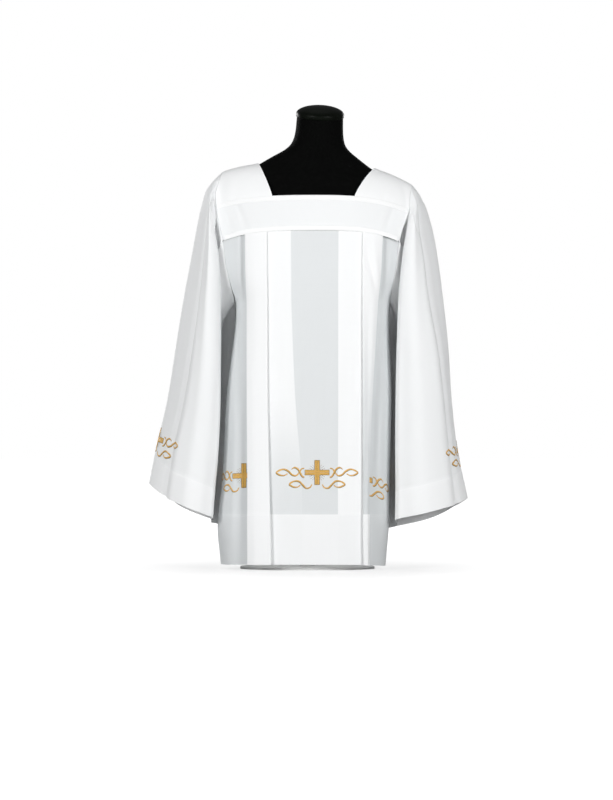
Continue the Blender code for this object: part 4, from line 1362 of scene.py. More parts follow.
def panel_grid(levels, rights, lefts, yoke_seam, creases, way, hem, spacing):
    """A whole front or back. way is -1 in front and 1 behind."""
    rows, layers_and_shade, hem_shares = [], [], []
    highest, lowest = levels[0].height, levels[-1].height
    band = (highest - UNDERARM_LEVEL) * FIRST_BAND
    for height in row_heights(highest, lowest, hem, spacing):
        halves = []
        in_hem = height < lowest + hem
        near_yoke = max(0.0, (height - highest + band) / band)
        for direction, table in ((-1, rights), (1, lefts)):
            section, level, side = half_section(levels, table, direction, height, creases, way)
            half = []
            for x, y, part in section:
                z = panel_height(height, side, x)
                seam = seam_height(yoke_seam, direction * x) - SHELL_GAP
                point = Vector((direction * x, way * max(y, SHELL_GAP), mix(z, seam, near_yoke)))
                half.append((point, layers_and_shade_at(part, way, direction, height, in_hem)))
            halves.append(half)
        level = read(levels, height)
        depth = level.depth - 2 * level.pitch - crease_depth(creases, 0.0, height)
        z = mix(height, seam_height(yoke_seam, 0.0) - SHELL_GAP, near_yoke)
        middle = (Vector((0.0, way * depth, z)), layers_and_shade_at("single", way, 0, height, in_hem))
        row = halves[0][::-1] + [middle] + halves[1]
        if way > 0:
            row = row[::-1]
        rows.append([point for point, _ in row])
        layers_and_shade.append([value for _, value in row])
        hem_shares.append([1.0 if in_hem else 0.0] * len(row))
    return ClothGrid(rows, layers_and_shade, hem_shares)


# The sleeves


def armhole_point(side, share):
    """A point of the armhole seam. share runs from the ridge (0) down the front to the underarm (0.5) and up the back."""
    front = share <= 0.5
    down = share if front else 1 - share
    way = -1 if front else 1
    armhole = ARMHOLE_RIGHT if side < 0 else ARMHOLE_LEFT
    neck_seam, yoke_seam = (FRONT_NECK_SEAM, FRONT_YOKE_SEAM) if front else (BACK_NECK_SEAM, BACK_YOKE_SEAM)
    neck_share, yoke_share = 0.20, 0.31
    if down <= neck_share:
        turn = down / neck_share
        x = side * mix(armhole.ridge, armhole.front if front else armhole.back, ease(turn))
        return arch_point(x, way * turn * arch_angle(x, seam_height(neck_seam, x)))
    if down <= yoke_share:
        share_down = (down - neck_share) / (yoke_share - neck_share)
        x = band_edge(side, share_down, way)
        height = mix(seam_height(neck_seam, x), seam_height(yoke_seam, x), share_down)
        return arch_point(x, way * arch_angle(x, height))
    levels, rights, lefts = (
        (FRONT_LEVELS, FRONT_RIGHT, FRONT_LEFT) if front else (BACK_LEVELS, BACK_RIGHT, BACK_LEFT)
    )
    share_down = (down - yoke_share) / (0.5 - yoke_share)
    height = mix(levels[0].height, UNDERARM_LEVEL, share_down)
    level, table = read(levels, height), read(rights if side < 0 else lefts, height)
    end = turn_at(level, table, table.edge * (table.width + SIDE_LAYER * level.pitch))
    place = layer_point(level, table, end, SIDE_LAYER)
    x = side * place.x
    lower = panel_height(height, table, x)
    height = mix(seam_height(yoke_seam, x), lower, min(share_down / FIRST_BAND, 1.0))
    return Vector((x, way * place.y, height))


def around(share, values):
    """A smooth closed reading of one value for each place of AROUND, at a share of the way round."""
    i = max(k for k in range(len(AROUND) - 1) if AROUND[k] <= min(share, 0.9999))
    count = len(values)

    def value(k):
        return values[k % count]

    def place(k):
        return AROUND[k % count] + (k // count)

    def slope(k):
        return (value(k + 1) - value(k - 1)) / (place(k + 1) - place(k - 1))

    span = AROUND[i + 1] - AROUND[i]
    t = (share - AROUND[i]) / span
    return (
        (2 * t**3 - 3 * t**2 + 1) * value(i)
        + (t**3 - 2 * t**2 + t) * span * slope(i)
        + (3 * t**2 - 2 * t**3) * value(i + 1)
        + (t**3 - t**2) * span * slope(i + 1)
    )


def tube_point(table, share, height):
    """Where the hanging sleeve is at a share of the way round and a height: distance across, and depth."""
    row = read(table, height)
    out = (
        row.outer,
        row.valley,
        row.face,
        row.corner,
        row.wall,
        row.wall,
        row.wall,
        row.back_corner,
        row.face,
        row.valley,
    )
    depth = (
        0.0,
        -row.valley_depth,
        -row.face_depth,
        -row.face_depth * 0.88,
        -row.face_depth * 0.42,
        0.004,
        row.face_depth * 0.42,
        row.face_depth * 0.86,
        row.face_depth * 0.98,
        row.valley_depth,
    )
    return around(share, out), around(share, depth)


def fold_depth(folds, share, z, girth):
    """How far the folds push a sleeve in at a share of the way round and a height."""
    total = 0.0
    for fold in folds:
        down = (fold.z_from - z) / (fold.z_from - fold.z_to)
        if not -0.2 < down < 1.2:
            continue
        middle = mix(fold.round_from, fold.round_to, down)
        apart = (share - middle + 0.5) % 1.0 - 0.5
        offset = apart * girth / fold.width * (fold.skew if apart < 0 else 1.0)
        if abs(offset) > 3:
            continue
        fade = ease((down + 0.2) / 0.4) * (ease((1.2 - down) / 0.3) if fold.z_to > 0.21 else 1.0)
        total += fold.depth * fade * math.exp(-offset * offset)
    return total


def sleeve_shares():
    """The columns' shares of the way round, closer together where the cloth bends."""
    shares = []
    for low, high in zip(AROUND, AROUND[1:]):
        count = round(SLEEVE_COLUMNS * (0.72 * (high - low) + 0.28 / (len(AROUND) - 1)))
        shares += spread(low, high, count + 1)[:-1]
    return shares


def sleeve_grid(side, hem, spacing):
    """A wide sleeve: each warp line leaves the armhole seam, turns over and hangs to the slanting hem."""
    table, cuff = (SLEEVE_RIGHT, CUFF_RIGHT) if side < 0 else (SLEEVE_LEFT, CUFF_LEFT)
    folds = SLEEVE_FOLDS_RIGHT if side < 0 else SLEEVE_FOLDS_LEFT
    shares = sleeve_shares()
    outward = Vector((side * (CAD_WALL / 2 + SHELL_GAP), 0.0, 0.0))
    count = round(0.62 / spacing)
    downs = [("above", (i / count) ** 1.15) for i in range(count + 1)]
    downs += [("hem", value) for value in spread(0.015, 1.0, round(hem / spacing))]
    columns = []
    for share in shares:
        start, end = armhole_point(side, share) + outward, around(share, cuff)
        at_underarm = mix(TURN_AT_UNDERARM_FRONT, TURN_AT_UNDERARM_BACK, ease((share - 0.44) / 0.16))
        turn_over = mix(TURN_AT_SHOULDER, at_underarm, ease(2 * min(share, 1 - share)))
        column = []
        for part, value in downs:
            z = mix(start.z, end + hem, value) if part == "above" else mix(end + hem, end, value)
            down = (start.z - z) / (start.z - end)
            out, depth = tube_point(table, share, z)
            turned = math.sin(min(down / turn_over, 1.0) * math.pi / 2)
            column.append(Vector((mix(start.x, side * out, turned), mix(start.y, depth, turned), z)))
        columns.append(column)
    rows = [[column[i] for column in columns] for i in range(len(downs))]
    if side > 0:
        rows = [row[:1] + row[:0:-1] for row in rows]
        shares = shares[:1] + shares[:0:-1]
    rows = pressed(rows, shares, folds, side)
    tone = [[0.86 if part == "above" else 1.0] * len(shares) for part, _ in downs]
    hem_shares = [[0.0 if part == "above" else 1.0] * len(shares) for part, _ in downs]
    return ClothGrid(rows, tone, hem_shares, closed=True)


def pressed(rows, shares, folds, side):
    """Rows of a tube with its folds pressed into it, along its own directions outwards."""
    made = []
    count = len(shares)
    for i, row in enumerate(rows):
        girth = running_length(row + row[:1])[-1]
        above, below = rows[max(i - 1, 0)], rows[min(i + 1, len(rows) - 1)]
        grip = ease(i / 4)
        line = []
        for j, point in enumerate(row):
            across = row[(j + 1) % count] - row[j - 1]
            down = below[j] - above[j]
            out = down.cross(across).normalized()
            line.append(point - out * fold_depth(folds, shares[j], point.z, girth) * grip)
        made.append(line)
    return made


# Stitches and embroidery


def tube_mesh(paths, sides):
    """Vertices, faces and thread coordinates of tubes: each path is a list of (point, out, along, radius)."""
    points, faces, uvs = [], [], []
    for path in paths:
        first = len(points)
        run = 0.0
        for i, (point, out, _, radius) in enumerate(path):
            before, after = path[max(i - 1, 0)][0], path[min(i + 1, len(path) - 1)][0]
            ahead = (after - before).normalized()
            beside = ahead.cross(out).normalized()
            up = beside.cross(ahead)
            run += (point - before).length if i else 0.0
            for k in range(sides):
                turn = 2 * math.pi * k / sides
                points.append(point + beside * radius * math.cos(turn) + up * radius * math.sin(turn))
                uvs.append((run, k / sides * 0.001))
        for i in range(len(path) - 1):
            for k in range(sides):
                a, b = first + i * sides + k, first + i * sides + (k + 1) % sides
                faces.append((a, b, b + sides, a + sides))
        last = first + (len(path) - 1) * sides
        faces.append(tuple(range(first + sides - 1, first - 1, -1)))
        faces.append(tuple(range(last, last + sides)))
    return points, faces, uvs


def thread_object(name, points, faces, uvs, finish, slot):
    """A piece of thread work from its vertices, faces and thread coordinates."""
    mesh = bpy.data.meshes.new(name)
    mesh.from_pydata([tuple(point) for point in points], [], faces)
    layer = mesh.uv_layers.new(name="thread")
    corners = [uvs[corner] for face in faces for corner in face]
    layer.uv.foreach_set("vector", [value for pair in corners for value in pair])
    mesh.polygons.foreach_set("use_smooth", [True] * len(faces))
    obj = bpy.data.objects.new(name, mesh)
    bpy.context.scene.collection.objects.link(obj)
    obj.data.materials.append(finish)
    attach(obj, "root")
    return obj


def stitch_paths(line, stitch, gap, thread):
    """Machine stitches along a line of (point, out) pairs. Each one dips into the cloth at both ends."""
    points = [point for point, _ in line]
    run = running_length(points)
    paths = []
    for number in range(int(run[-1] / (stitch + gap))):
        start = number * (stitch + gap) + gap / 2
        path = []
        for share, lift, size in ((0.0, -0.4, 0.5), (0.16, 0.5, 0.9), (0.5, 0.8, 1.0), (0.84, 0.5, 0.9), (1.0, -0.4, 0.5)):
            place = index_at(run, start + stitch * share)
            i = min(int(place), len(line) - 2)
            point = points[i].lerp(points[i + 1], place - i)
            out = line[i][1].lerp(line[i + 1][1], place - i).normalized()
            path.append((point + out * lift * thread / 2, out, share, size * thread / 2))
        paths.append(path)
    return paths


def stitched_lines(name, lines):
    """All the stitches of some lines as one piece."""
    tape = bpy.context.scene.surplice_tape
    paths = []
    for line in lines:
        paths += stitch_paths(line, tape.stitch, tape.stitch * 0.22, tape.thread)
    finish = finish_of("white sewing thread", sewing_thread_material)
    return thread_object(name, *tube_mesh(paths, 6), finish, "white_tape")


def satin_band(points, faces, uvs, spots, widths, heights, profile=7):
    """A raised satin-stitched band: spots are functions of an offset across, from one end to the other."""
    first = len(points)
    run = 0.0
    before = None
    for spot, width, height in zip(spots, widths, heights):
        middle = spot(0.0, 0.0)
        run += (middle - before).length if before is not None else 0.0
        before = middle
        for k in range(profile):
            turn = math.pi * k / (profile - 1)
            across = -math.cos(turn) * width / 2
            points.append(spot(across, -0.0002 + height * math.sin(turn) ** 0.7))
            uvs.append((run, across))
    for i in range(len(spots) - 1):
        for k in range(profile - 1):
            a = first + i * profile + k
            faces.append((a, a + 1, a + 1 + profile, a + profile))
        a, b = first + i * profile, first + i * profile + profile - 1
        faces.append((a, a + profile, b + profile, b))
    faces.append(tuple(range(first + profile - 1, first - 1, -1)))
    last = first + (len(spots) - 1) * profile
    faces.append(tuple(range(last, last + profile)))


class Motif:
    """Where an embroidered motif sits on a cloth grid: its middle and how it is cut off at a pleat's edge."""

    def __init__(self, grid, column, along, row, rise, low=-1.0, high=1.0, tilt=0.0):
        self.grid, self.column, self.along, self.row = grid, column, along, row
        self.rise, self.low, self.high, self.tilt = rise, low, high, tilt
        i = int(row)
        self.row_step = (grid.rows[i][column] - grid.rows[i + 1][column]).length

    def spot(self, across, up, lift):
        """The point of the cloth at a place of the motif, lifted out of it."""
        row = self.row - (up + self.tilt * across) / self.row_step
        return self.grid.spot(self.column, self.along + across, row, self.rise + lift)[0]

    def shows(self, across):
        return self.low <= across <= self.high


def strand_pieces(motif, strand, mirror):
    """A strand's centre line on the motif, cut where the motif is hidden."""
    line = smooth_curve([Vector((mirror * x * CENTIMETRE, z * CENTIMETRE)) for x, z in strand], 10 * len(strand))
    pieces, piece = [], []
    for i, place in enumerate(line):
        if motif.shows(place.x):
            piece.append((i / (len(line) - 1), place))
        elif piece:
            pieces.append(piece)
            piece = []
    if piece:
        pieces.append(piece)
    return [piece for piece in pieces if len(piece) > 3]


def stitch_strand(motif, points, faces, uvs, piece, width, relief):
    """One visible stretch of a strand as a raised band that swells in the middle and thins to its ends."""
    spots, widths, heights = [], [], []
    for i, (share, place) in enumerate(piece):
        before, after = piece[max(i - 1, 0)][1], piece[min(i + 1, len(piece) - 1)][1]
        ahead = (after - before).normalized()
        beside = Vector((-ahead.y, ahead.x))

        def spot(across, lift, place=place, beside=beside):
            at = place + beside * across
            return motif.spot(at.x, at.y, lift)

        swell = 0.62 + 0.38 * math.sin(math.pi * min(max(share, 0.03), 0.97)) ** 0.7
        swell *= 0.92 + 0.16 * math.sin(share * 17.0) ** 2
        spots.append(spot)
        widths.append(width * swell)
        heights.append(relief * swell)
    satin_band(points, faces, uvs, spots, widths, heights)


def bar_spots(motif, start, end, count):
    """Places along a straight bar of the motif, between two of its points."""
    ahead = (end - start).normalized()
    beside = Vector((-ahead.y, ahead.x))
    spots = []
    for share in spread(0.0, 1.0, count):
        place = start.lerp(end, share)

        def spot(across, lift, place=place):
            at = place + beside * across
            return motif.spot(at.x, at.y, lift)

        spots.append(spot)
    return spots


def stitch_bar(motif, points, faces, uvs, start, end, width, relief, count=None):
    """A straight satin-stitched bar, rounded over at both ends, cut where the motif is hidden."""
    if abs(start.y - end.y) < 1e-6:
        if start.x > end.x:
            start, end = end, start
        start = Vector((max(start.x, motif.low), start.y))
        end = Vector((min(end.x, motif.high), end.y))
        if end.x - start.x < 0.002:
            return
    elif not (motif.shows(start.x) and motif.shows(end.x)):
        return
    count = count or max(5, round((end - start).length / 0.0016))
    ends = [min(1.0, 0.55 + 0.45 * min(i, count - 1 - i)) for i in range(count)]
    spots = bar_spots(motif, start, end, count)
    satin_band(points, faces, uvs, spots, [width * (0.85 + 0.15 * e) for e in ends], [relief * e for e in ends])


def cross_corners():
    """The outline of the cross, from the top right and round."""
    a, w = CROSS_ARM, CROSS_HALF_WIDTH
    quarter = [Vector((w, a)), Vector((w, w)), Vector((a, w))]
    corners = []
    for turn in range(4):
        angle = -turn * math.pi / 2
        c, s = math.cos(angle), math.sin(angle)
        corners += [Vector((v.x * c - v.y * s, v.x * s + v.y * c)) for v in quarter]
    return corners


def embroider(name, motif, sides=(-1, 1)):
    """A whole motif: the gold fill of the cross and the scrolls, and the darker outline and rays."""
    look = bpy.context.scene.surplice_embroidery
    gold = ([], [], [])
    w = CROSS_HALF_WIDTH
    for start, end in ((Vector((0, CROSS_ARM)), Vector((0, -CROSS_ARM))), (Vector((-CROSS_ARM, 0)), Vector((CROSS_ARM, 0)))):
        beside = Vector((w / 2, 0)) if start.x == end.x else Vector((0, w / 2))
        for half in (-1, 1):
            stitch_bar(motif, *gold, start + beside * half, end + beside * half, w * 1.02, look.relief)
    for mirror in sides:
        for strand in STRANDS:
            for piece in strand_pieces(motif, strand, mirror):
                stitch_strand(motif, *gold, piece, look.cord_width, look.relief)
    dark = ([], [], [])
    corners = cross_corners()
    for a, b in zip(corners, corners[1:] + corners[:1]):
        stitch_bar(motif, *dark, a, b, 0.0009, look.relief * 1.05)
    stitch_bar(motif, *dark, Vector((0, CROSS_ARM)), Vector((0, -CROSS_ARM)), 0.0005, look.relief * 0.9)
    for mirror in sides:
        for strand in STRANDS:
            shifted = [(x + OUTLINE_SHIFT, z - OUTLINE_SHIFT) for x, z in strand]
            for piece in strand_pieces(motif, shifted, mirror):
                stitch_strand(motif, *dark, piece, look.cord_width * 0.46, look.relief * 0.9)
    for angle in (30, 45, 60):
        for quarter in range(4):
            turn = math.radians(angle + 90 * quarter)
            ahead = Vector((math.cos(turn), math.sin(turn)))
            for near in (0.0100, 0.0140, 0.0180) if angle == 45 else (0.0130, 0.0170):
                stitch_bar(motif, *dark, ahead * near, ahead * (near + 0.0024), 0.0010, look.relief * 0.50, 4)
    gold_finish = finish_of("gold satin thread", thread_material, "gold satin thread", look.gold[:],
                            tuple(value * 0.55 for value in look.gold), 2100.0, 0.34)
    dark_finish = finish_of("bronze outline thread", thread_material, "bronze outline thread", look.bronze[:],
                            tuple(value * 0.5 for value in look.bronze), 2600.0, 0.42)
    made = [thread_object(name + "_gold", *gold, gold_finish, None)]
    if dark[0]:
        made.append(thread_object(name + "_outline", *dark, dark_finish, None))
    return made


# The pieces of cloth, which later steps sew and embroider

grids = {}


def cloth_piece(name, grid, slot, nodes, hem=0.0):
    """A piece of cloth over a grid, fastened to the frame."""
    cloth = bpy.context.scene.surplice_cloth
    obj = sheet_object(name, grid, cloth.thickness, cloth.hem_thickness, white_cloth())
    stand_for(obj, slot, *nodes)
    grids[name] = grid
    width, length = grid.width(), grid.length() + hem
    area = min(grid.area() + hem * grid.width(), width * length)
    return obj


class SURPLICE_OT_dress_form(bpy.types.Operator):
    """Build the black torso, its neck and the lacquered cap."""

    bl_idname = "surplice.dress_form"
    bl_label = "Dress Form"

    def execute(self, context):
        look = context.scene.surplice_form
        lean = Matrix.Translation((0, 0, LEAN_LEVEL)) @ Matrix.Rotation(FORM_LEAN, 4, "Y")
        lean = lean @ Matrix.Translation((0, 0, -LEAN_LEVEL))
        heights = spread(FORM_RINGS[0].height, FORM_RINGS[1].height, 4)[:-1]
        heights += spread(FORM_RINGS[1].height, FORM_RINGS[-1].height, 110)
        stand_for(self.torso(look, heights, lean), "black_jersey", "form_torso")
        stand_for(self.cap(look, lean), "black_wood", "form_neck_cap")
        return {"FINISHED"}

    def torso(self, look, heights, lean):
        """A loft of rounded sections, closed at the bottom and on the slanting neck cut."""
        shape = bmesh.new()
        weave = shape.loops.layers.uv.new("weave")
        rows = []
        for height in heights:
            ring = read(FORM_RINGS, height)
            slant = ease((height - NECK_FOOT) / (NECK_CUT_MIDDLE.z - NECK_FOOT)) * math.tan(NECK_TILT_FORWARD)
            row = []
            for i in range(look.sides):
                angle = 2 * math.pi * i / look.sides
                power = 2 / ring.squareness
                x = math.copysign(abs(math.cos(angle)) ** power, math.cos(angle)) * ring.half_width - ring.sideways
                y = math.copysign(abs(math.sin(angle)) ** power, math.sin(angle)) * ring.half_depth - ring.forward
                row.append(shape.verts.new((x, y, height + slant * (y - NECK_CUT_MIDDLE.y))))
            rows.append(row)
        for i in range(len(rows) - 1):
            for j in range(look.sides):
                k = (j + 1) % look.sides
                face = shape.faces.new((rows[i][j], rows[i][k], rows[i + 1][k], rows[i + 1][j]))
                for loop, (u, v) in zip(face.loops, ((j, i), (j + 1, i), (j + 1, i + 1), (j, i + 1))):
                    loop[weave].uv = (u / look.sides, heights[v] - heights[0])
        for ring, outwards in ((rows[0], False), (rows[-1], True)):
            middle = shape.verts.new(sum((v.co for v in ring), Vector()) / look.sides)
            for j in range(look.sides):
                a, b = ring[j], ring[(j + 1) % look.sides]
                face = shape.faces.new((a, b, middle) if outwards else (b, a, middle))
                for loop in face.loops:
                    loop[weave].uv = (loop.vert.co.x, loop.vert.co.y)
        mesh = bpy.data.meshes.new("torso_cover")
        shape.to_mesh(mesh)
        shape.free()
        mesh.transform(lean)
        mesh.materials.append(finish_of("black jersey", jersey_material, look.jersey[:]))
        mesh.polygons.foreach_set("use_smooth", [True] * len(mesh.polygons))
        mesh.set_sharp_from_angle(angle=math.radians(50))
        obj = bpy.data.objects.new("torso_cover", mesh)
        bpy.context.scene.collection.objects.link(obj)
        return obj

    def cap(self, look, lean):
        """A turned, domed disc with a softened rim."""
        profile = [(0.0, CAP_RIM + CAP_DOME)]
        for angle in spread(0.0, math.pi / 2, 16)[1:-1]:
            profile.append((CAP_RADIUS * math.sin(angle), CAP_RIM + CAP_DOME * math.cos(angle)))
        for angle in spread(0.0, math.pi / 2, 6):
            out = CAP_RADIUS - CAP_EDGE + CAP_EDGE * math.cos(angle)
            profile.append((out, CAP_EDGE + (CAP_RIM - CAP_EDGE) * (angle == 0.0) - CAP_EDGE * math.sin(angle)))
        profile.append((0.0, 0.0))
        mesh = bpy.data.meshes.new("neck_cap")
        points = [(radius, 0.0, height) for radius, height in profile]
        mesh.from_pydata(points, [(i, i + 1) for i in range(len(points) - 1)], [])
        obj = bpy.data.objects.new("neck_cap", mesh)
        bpy.context.scene.collection.objects.link(obj)
        turn = obj.modifiers.new("turn", "SCREW")
        turn.steps = turn.render_steps = 96
        turn.use_merge_vertices = True
        turn.merge_threshold = 0.00005
        mesh.materials.append(finish_of("black lacquered wood", lacquer_material, look.lacquer[:]))
        settled(obj, 35.0)
        place = Matrix.Translation(NECK_CUT_MIDDLE + Vector((0, 0, PIECE_GAP)))
        tilt = Matrix.Rotation(NECK_TILT_FORWARD, 4, "X") @ Matrix.Diagonal((1, CAP_DEPTH_STRETCH, 1, 1))
        obj.data.transform(lean @ place @ tilt)
        return obj


class SURPLICE_OT_stand(bpy.types.Operator):
    """Paint the steel stand."""

    bl_idname = "surplice.stand"
    bl_label = "Stand"

    def execute(self, context):
        enamel = finish_of("white painted steel", enamel_material, context.scene.surplice_form.enamel[:])
        for name in ("stand_base", "stand_post", "stand_flange"):
            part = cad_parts[name]
            part.data.materials.clear()
            part.data.materials.append(enamel)
        return {"FINISHED"}


class SURPLICE_OT_yoke(bpy.types.Operator):
    """Build the two shoulder pieces and the front and back yoke bands."""

    bl_idname = "surplice.yoke"
    bl_label = "Yoke"

    def execute(self, context):
        for side, name in ((-1, "right"), (1, "left")):
            cloth_piece(f"shoulder_cloth_{name}", shoulder_grid(side), "white_cloth", [f"shoulder_{name}"])
        front = yoke_grid(FRONT_NECK_SEAM, FRONT_YOKE_SEAM, -1)
        cloth_piece("yoke_cloth_front", front, "white_cloth", ["yoke_front"])
        back = yoke_grid(BACK_NECK_SEAM, BACK_YOKE_SEAM, 1)
        cloth_piece("yoke_cloth_back", back, "white_cloth", ["yoke_back"])
        return {"FINISHED"}


class SURPLICE_OT_tapes(bpy.types.Operator):
    """Build the folded tapes along the yoke seams, with a row of stitches along each edge."""

    bl_idname = "surplice.tapes"
    bl_label = "Seam Tapes"

    def execute(self, context):
        tape = context.scene.surplice_tape
        for name, seam, way, at_neck in (
            ("neck_tape_front", FRONT_NECK_SEAM, -1, True),
            ("yoke_tape_front", FRONT_YOKE_SEAM, -1, False),
            ("neck_tape_back", BACK_NECK_SEAM, 1, True),
            ("yoke_tape_back", BACK_YOKE_SEAM, 1, False),
        ):
            above = SEAM_GAP if at_neck else tape.width
            self.tape(tape, name, seam, above, 0.06 if at_neck else 0.94, way)
        return {"FINISHED"}

    def tape(self, tape, name, seam, above, level_share, way):
        """A tape as a soft flattened tube over its band, and its stitches."""
        count, profile = 131, 14
        top, bottom = tape_lines(seam, above, level_share, way, tape.width, count)
        rise = 0.0004
        rows, stitch_lines = [], [[], []]
        for k in range(profile):
            turn = 2 * math.pi * k / profile
            share = 0.5 - 0.5 * math.cos(turn)
            puff = max(math.sin(turn), 0.0) ** 0.6 * tape.puff
            row = []
            for i, ((x_top, z_top), (x_bottom, z_bottom)) in enumerate(zip(top, bottom)):
                near_end = min(i, count - 1 - i)
                full = min(1.0, 0.35 + 0.2 * near_end)
                x, height = mix(x_top, x_bottom, share), mix(z_top, z_bottom, share)
                ripple = 1.0 + 0.10 * math.sin(x * 90.0 + seam.height * 50) + 0.06 * math.sin(x * 310.0)
                lift = rise + puff * full * ripple
                row.append(arch_point(x, way * arch_angle(x, height), lift))
            rows.append(row[::-1] if way > 0 else row)
        points = [point + Vector((MIDDLE_X, 0, 0)) for row in rows for point in row]
        faces = []
        for k in range(profile):
            for i in range(count - 1):
                a, b = k * count + i, ((k + 1) % profile) * count + i
                faces.append((a, b, b + 1, a + 1))
        faces.append(tuple(k * count for k in range(profile))[::-1])
        faces.append(tuple(k * count + count - 1 for k in range(profile)))
        mesh = bpy.data.meshes.new(name + "_folded")
        mesh.from_pydata([tuple(point) for point in points], [], faces)
        weave = mesh.uv_layers.new(name="weave")
        run = running_length(points[:count])
        values = []
        for face in faces:
            for corner in face:
                values += [run[corner % count], corner // count * tape.width * 2 / profile]
        weave.uv.foreach_set("vector", values)
        layers_and_shade = mesh.attributes.new("layers_and_shade", "FLOAT", "POINT")
        layers_and_shade.data.foreach_set("value", [1.0] * len(points))
        mesh.polygons.foreach_set("use_smooth", [True] * len(faces))
        mesh.set_sharp_from_angle(angle=math.radians(70))
        mesh.materials.append(white_tape())
        obj = bpy.data.objects.new(name + "_folded", mesh)
        bpy.context.scene.collection.objects.link(obj)
        stand_for(obj, "white_tape", name)
        for row, share in ((0, 0.14), (1, 0.86)):
            for (x_top, z_top), (x_bottom, z_bottom) in zip(top, bottom):
                x, height = mix(x_top, x_bottom, share), mix(z_top, z_bottom, share)
                puff = math.sin(math.acos(1 - 2 * share)) ** 0.6 * tape.puff
                inner = arch_point(x, way * arch_angle(x, height), rise)
                outer = arch_point(x, way * arch_angle(x, height), rise + puff)
                stitch_lines[row].append((outer + Vector((MIDDLE_X, 0, 0)), (outer - inner).normalized()))
        stitched_lines(name + "_stitches", [line[2:-2] for line in stitch_lines])


class SURPLICE_OT_body(bpy.types.Operator):
    """Build the pleated front and back, with their turned-up hems and hem stitches."""

    bl_idname = "surplice.body"
    bl_label = "Front and Back"

    def execute(self, context):
        cloth = context.scene.surplice_cloth
        panels = (
            ("front", FRONT_LEVELS, FRONT_RIGHT, FRONT_LEFT, FRONT_YOKE_SEAM, FRONT_CREASES, -1),
            ("back", BACK_LEVELS, BACK_RIGHT, BACK_LEFT, BACK_YOKE_SEAM, BACK_CREASES, 1),
        )
        for name, levels, rights, lefts, seam, creases, way in panels:
            grid = panel_grid(levels, rights, lefts, seam, creases, way, cloth.body_hem, cloth.row_spacing)
            cloth_piece(f"{name}_cloth", grid, "white_cloth", [f"{name}_panel", f"{name}_skirt"],
                        cloth.body_hem)
            stitched_lines(f"hem_stitches_{name}", [hem_line(grid, cloth, 0.004)])
        return {"FINISHED"}


def hem_line(grid, cloth, below):
    """A line of (point, out) pairs just under the edge of the turned-up hem, on the outside of the cloth."""
    first = next(i for i, row in enumerate(grid.hem) if row[0] > 0)
    row = first + below / cloth.row_spacing
    line = []
    for j in range(len(grid.rows[0])):
        line.append(grid.spot(j, 0.0, row, cloth.hem_thickness / 2))
    if grid.closed:
        line.append(line[0])
    return line


class SURPLICE_OT_sleeves(bpy.types.Operator):
    """Build the two wide sleeves, with their turned-up hems and hem stitches."""

    bl_idname = "surplice.sleeves"
    bl_label = "Sleeves"

    def execute(self, context):
        cloth = context.scene.surplice_cloth
        for side, name in ((-1, "right"), (1, "left")):
            grid = sleeve_grid(side, cloth.sleeve_hem, cloth.row_spacing)
            cloth_piece(f"sleeve_cloth_{name}", grid, "white_cloth", [f"sleeve_{name}"],
                        cloth.sleeve_hem)
            stitched_lines(f"hem_stitches_sleeve_{name}", [hem_line(grid, cloth, 0.003)])
        return {"FINISHED"}


class SURPLICE_OT_embroidery(bpy.types.Operator):
    """Stitch the gold motifs on the front, the back and the sleeves."""

    bl_idname = "surplice.embroidery"
    bl_label = "Embroidery"

    def execute(self, context):
        look = context.scene.surplice_embroidery
        half = context.scene.surplice_cloth.thickness / 2
        for name, middle_along in (("front", 0.0056), ("back", 0.0)):
            grid = grids[f"{name}_cloth"]
            middle = len(grid.rows[0]) // 2
            row = grid.row_at(middle, look.body_height)
            embroider(f"embroidery_{name}_middle", Motif(grid, middle, middle_along, row, half))
            self.sides(name, grid, look.body_height, half)
        for name, (along, rise, tilt) in SLEEVE_MOTIFS.items():
            grid = grids[f"sleeve_cloth_{name}"]
            height = grid.rows[-1][0].z + look.sleeve_rise + rise
            motif = Motif(grid, 0, along, grid.row_at(0, height), half, tilt=tilt)
            embroider(f"embroidery_sleeve_{name}", motif)
        return {"FINISHED"}

    def sides(self, name, grid, height, half):
        """The motifs beside the pleats, which run in under the pleats' outer edges."""
        last = len(grid.rows[0]) - 1
        for end, inward in ((0, 1), (last, -1)):
            which = "right" if grid.rows[0][end].x < MIDDLE_X else "left"
            outside, drop, tilt = SIDE_MOTIFS[f"{name}_{which}"]
            column = end + inward * (SIDE_COLUMNS - 1)
            row = grid.row_at(column, height - drop)
            tuck = 0.006
            along = -inward * (0.003 + outside)
            low, high = (-1.0, tuck - along) if inward > 0 else (-tuck - along, 1.0)
            motif = Motif(grid, column, along, row, half, low, high, inward * tilt)
            embroider(f"embroidery_{name}_{which}", motif)


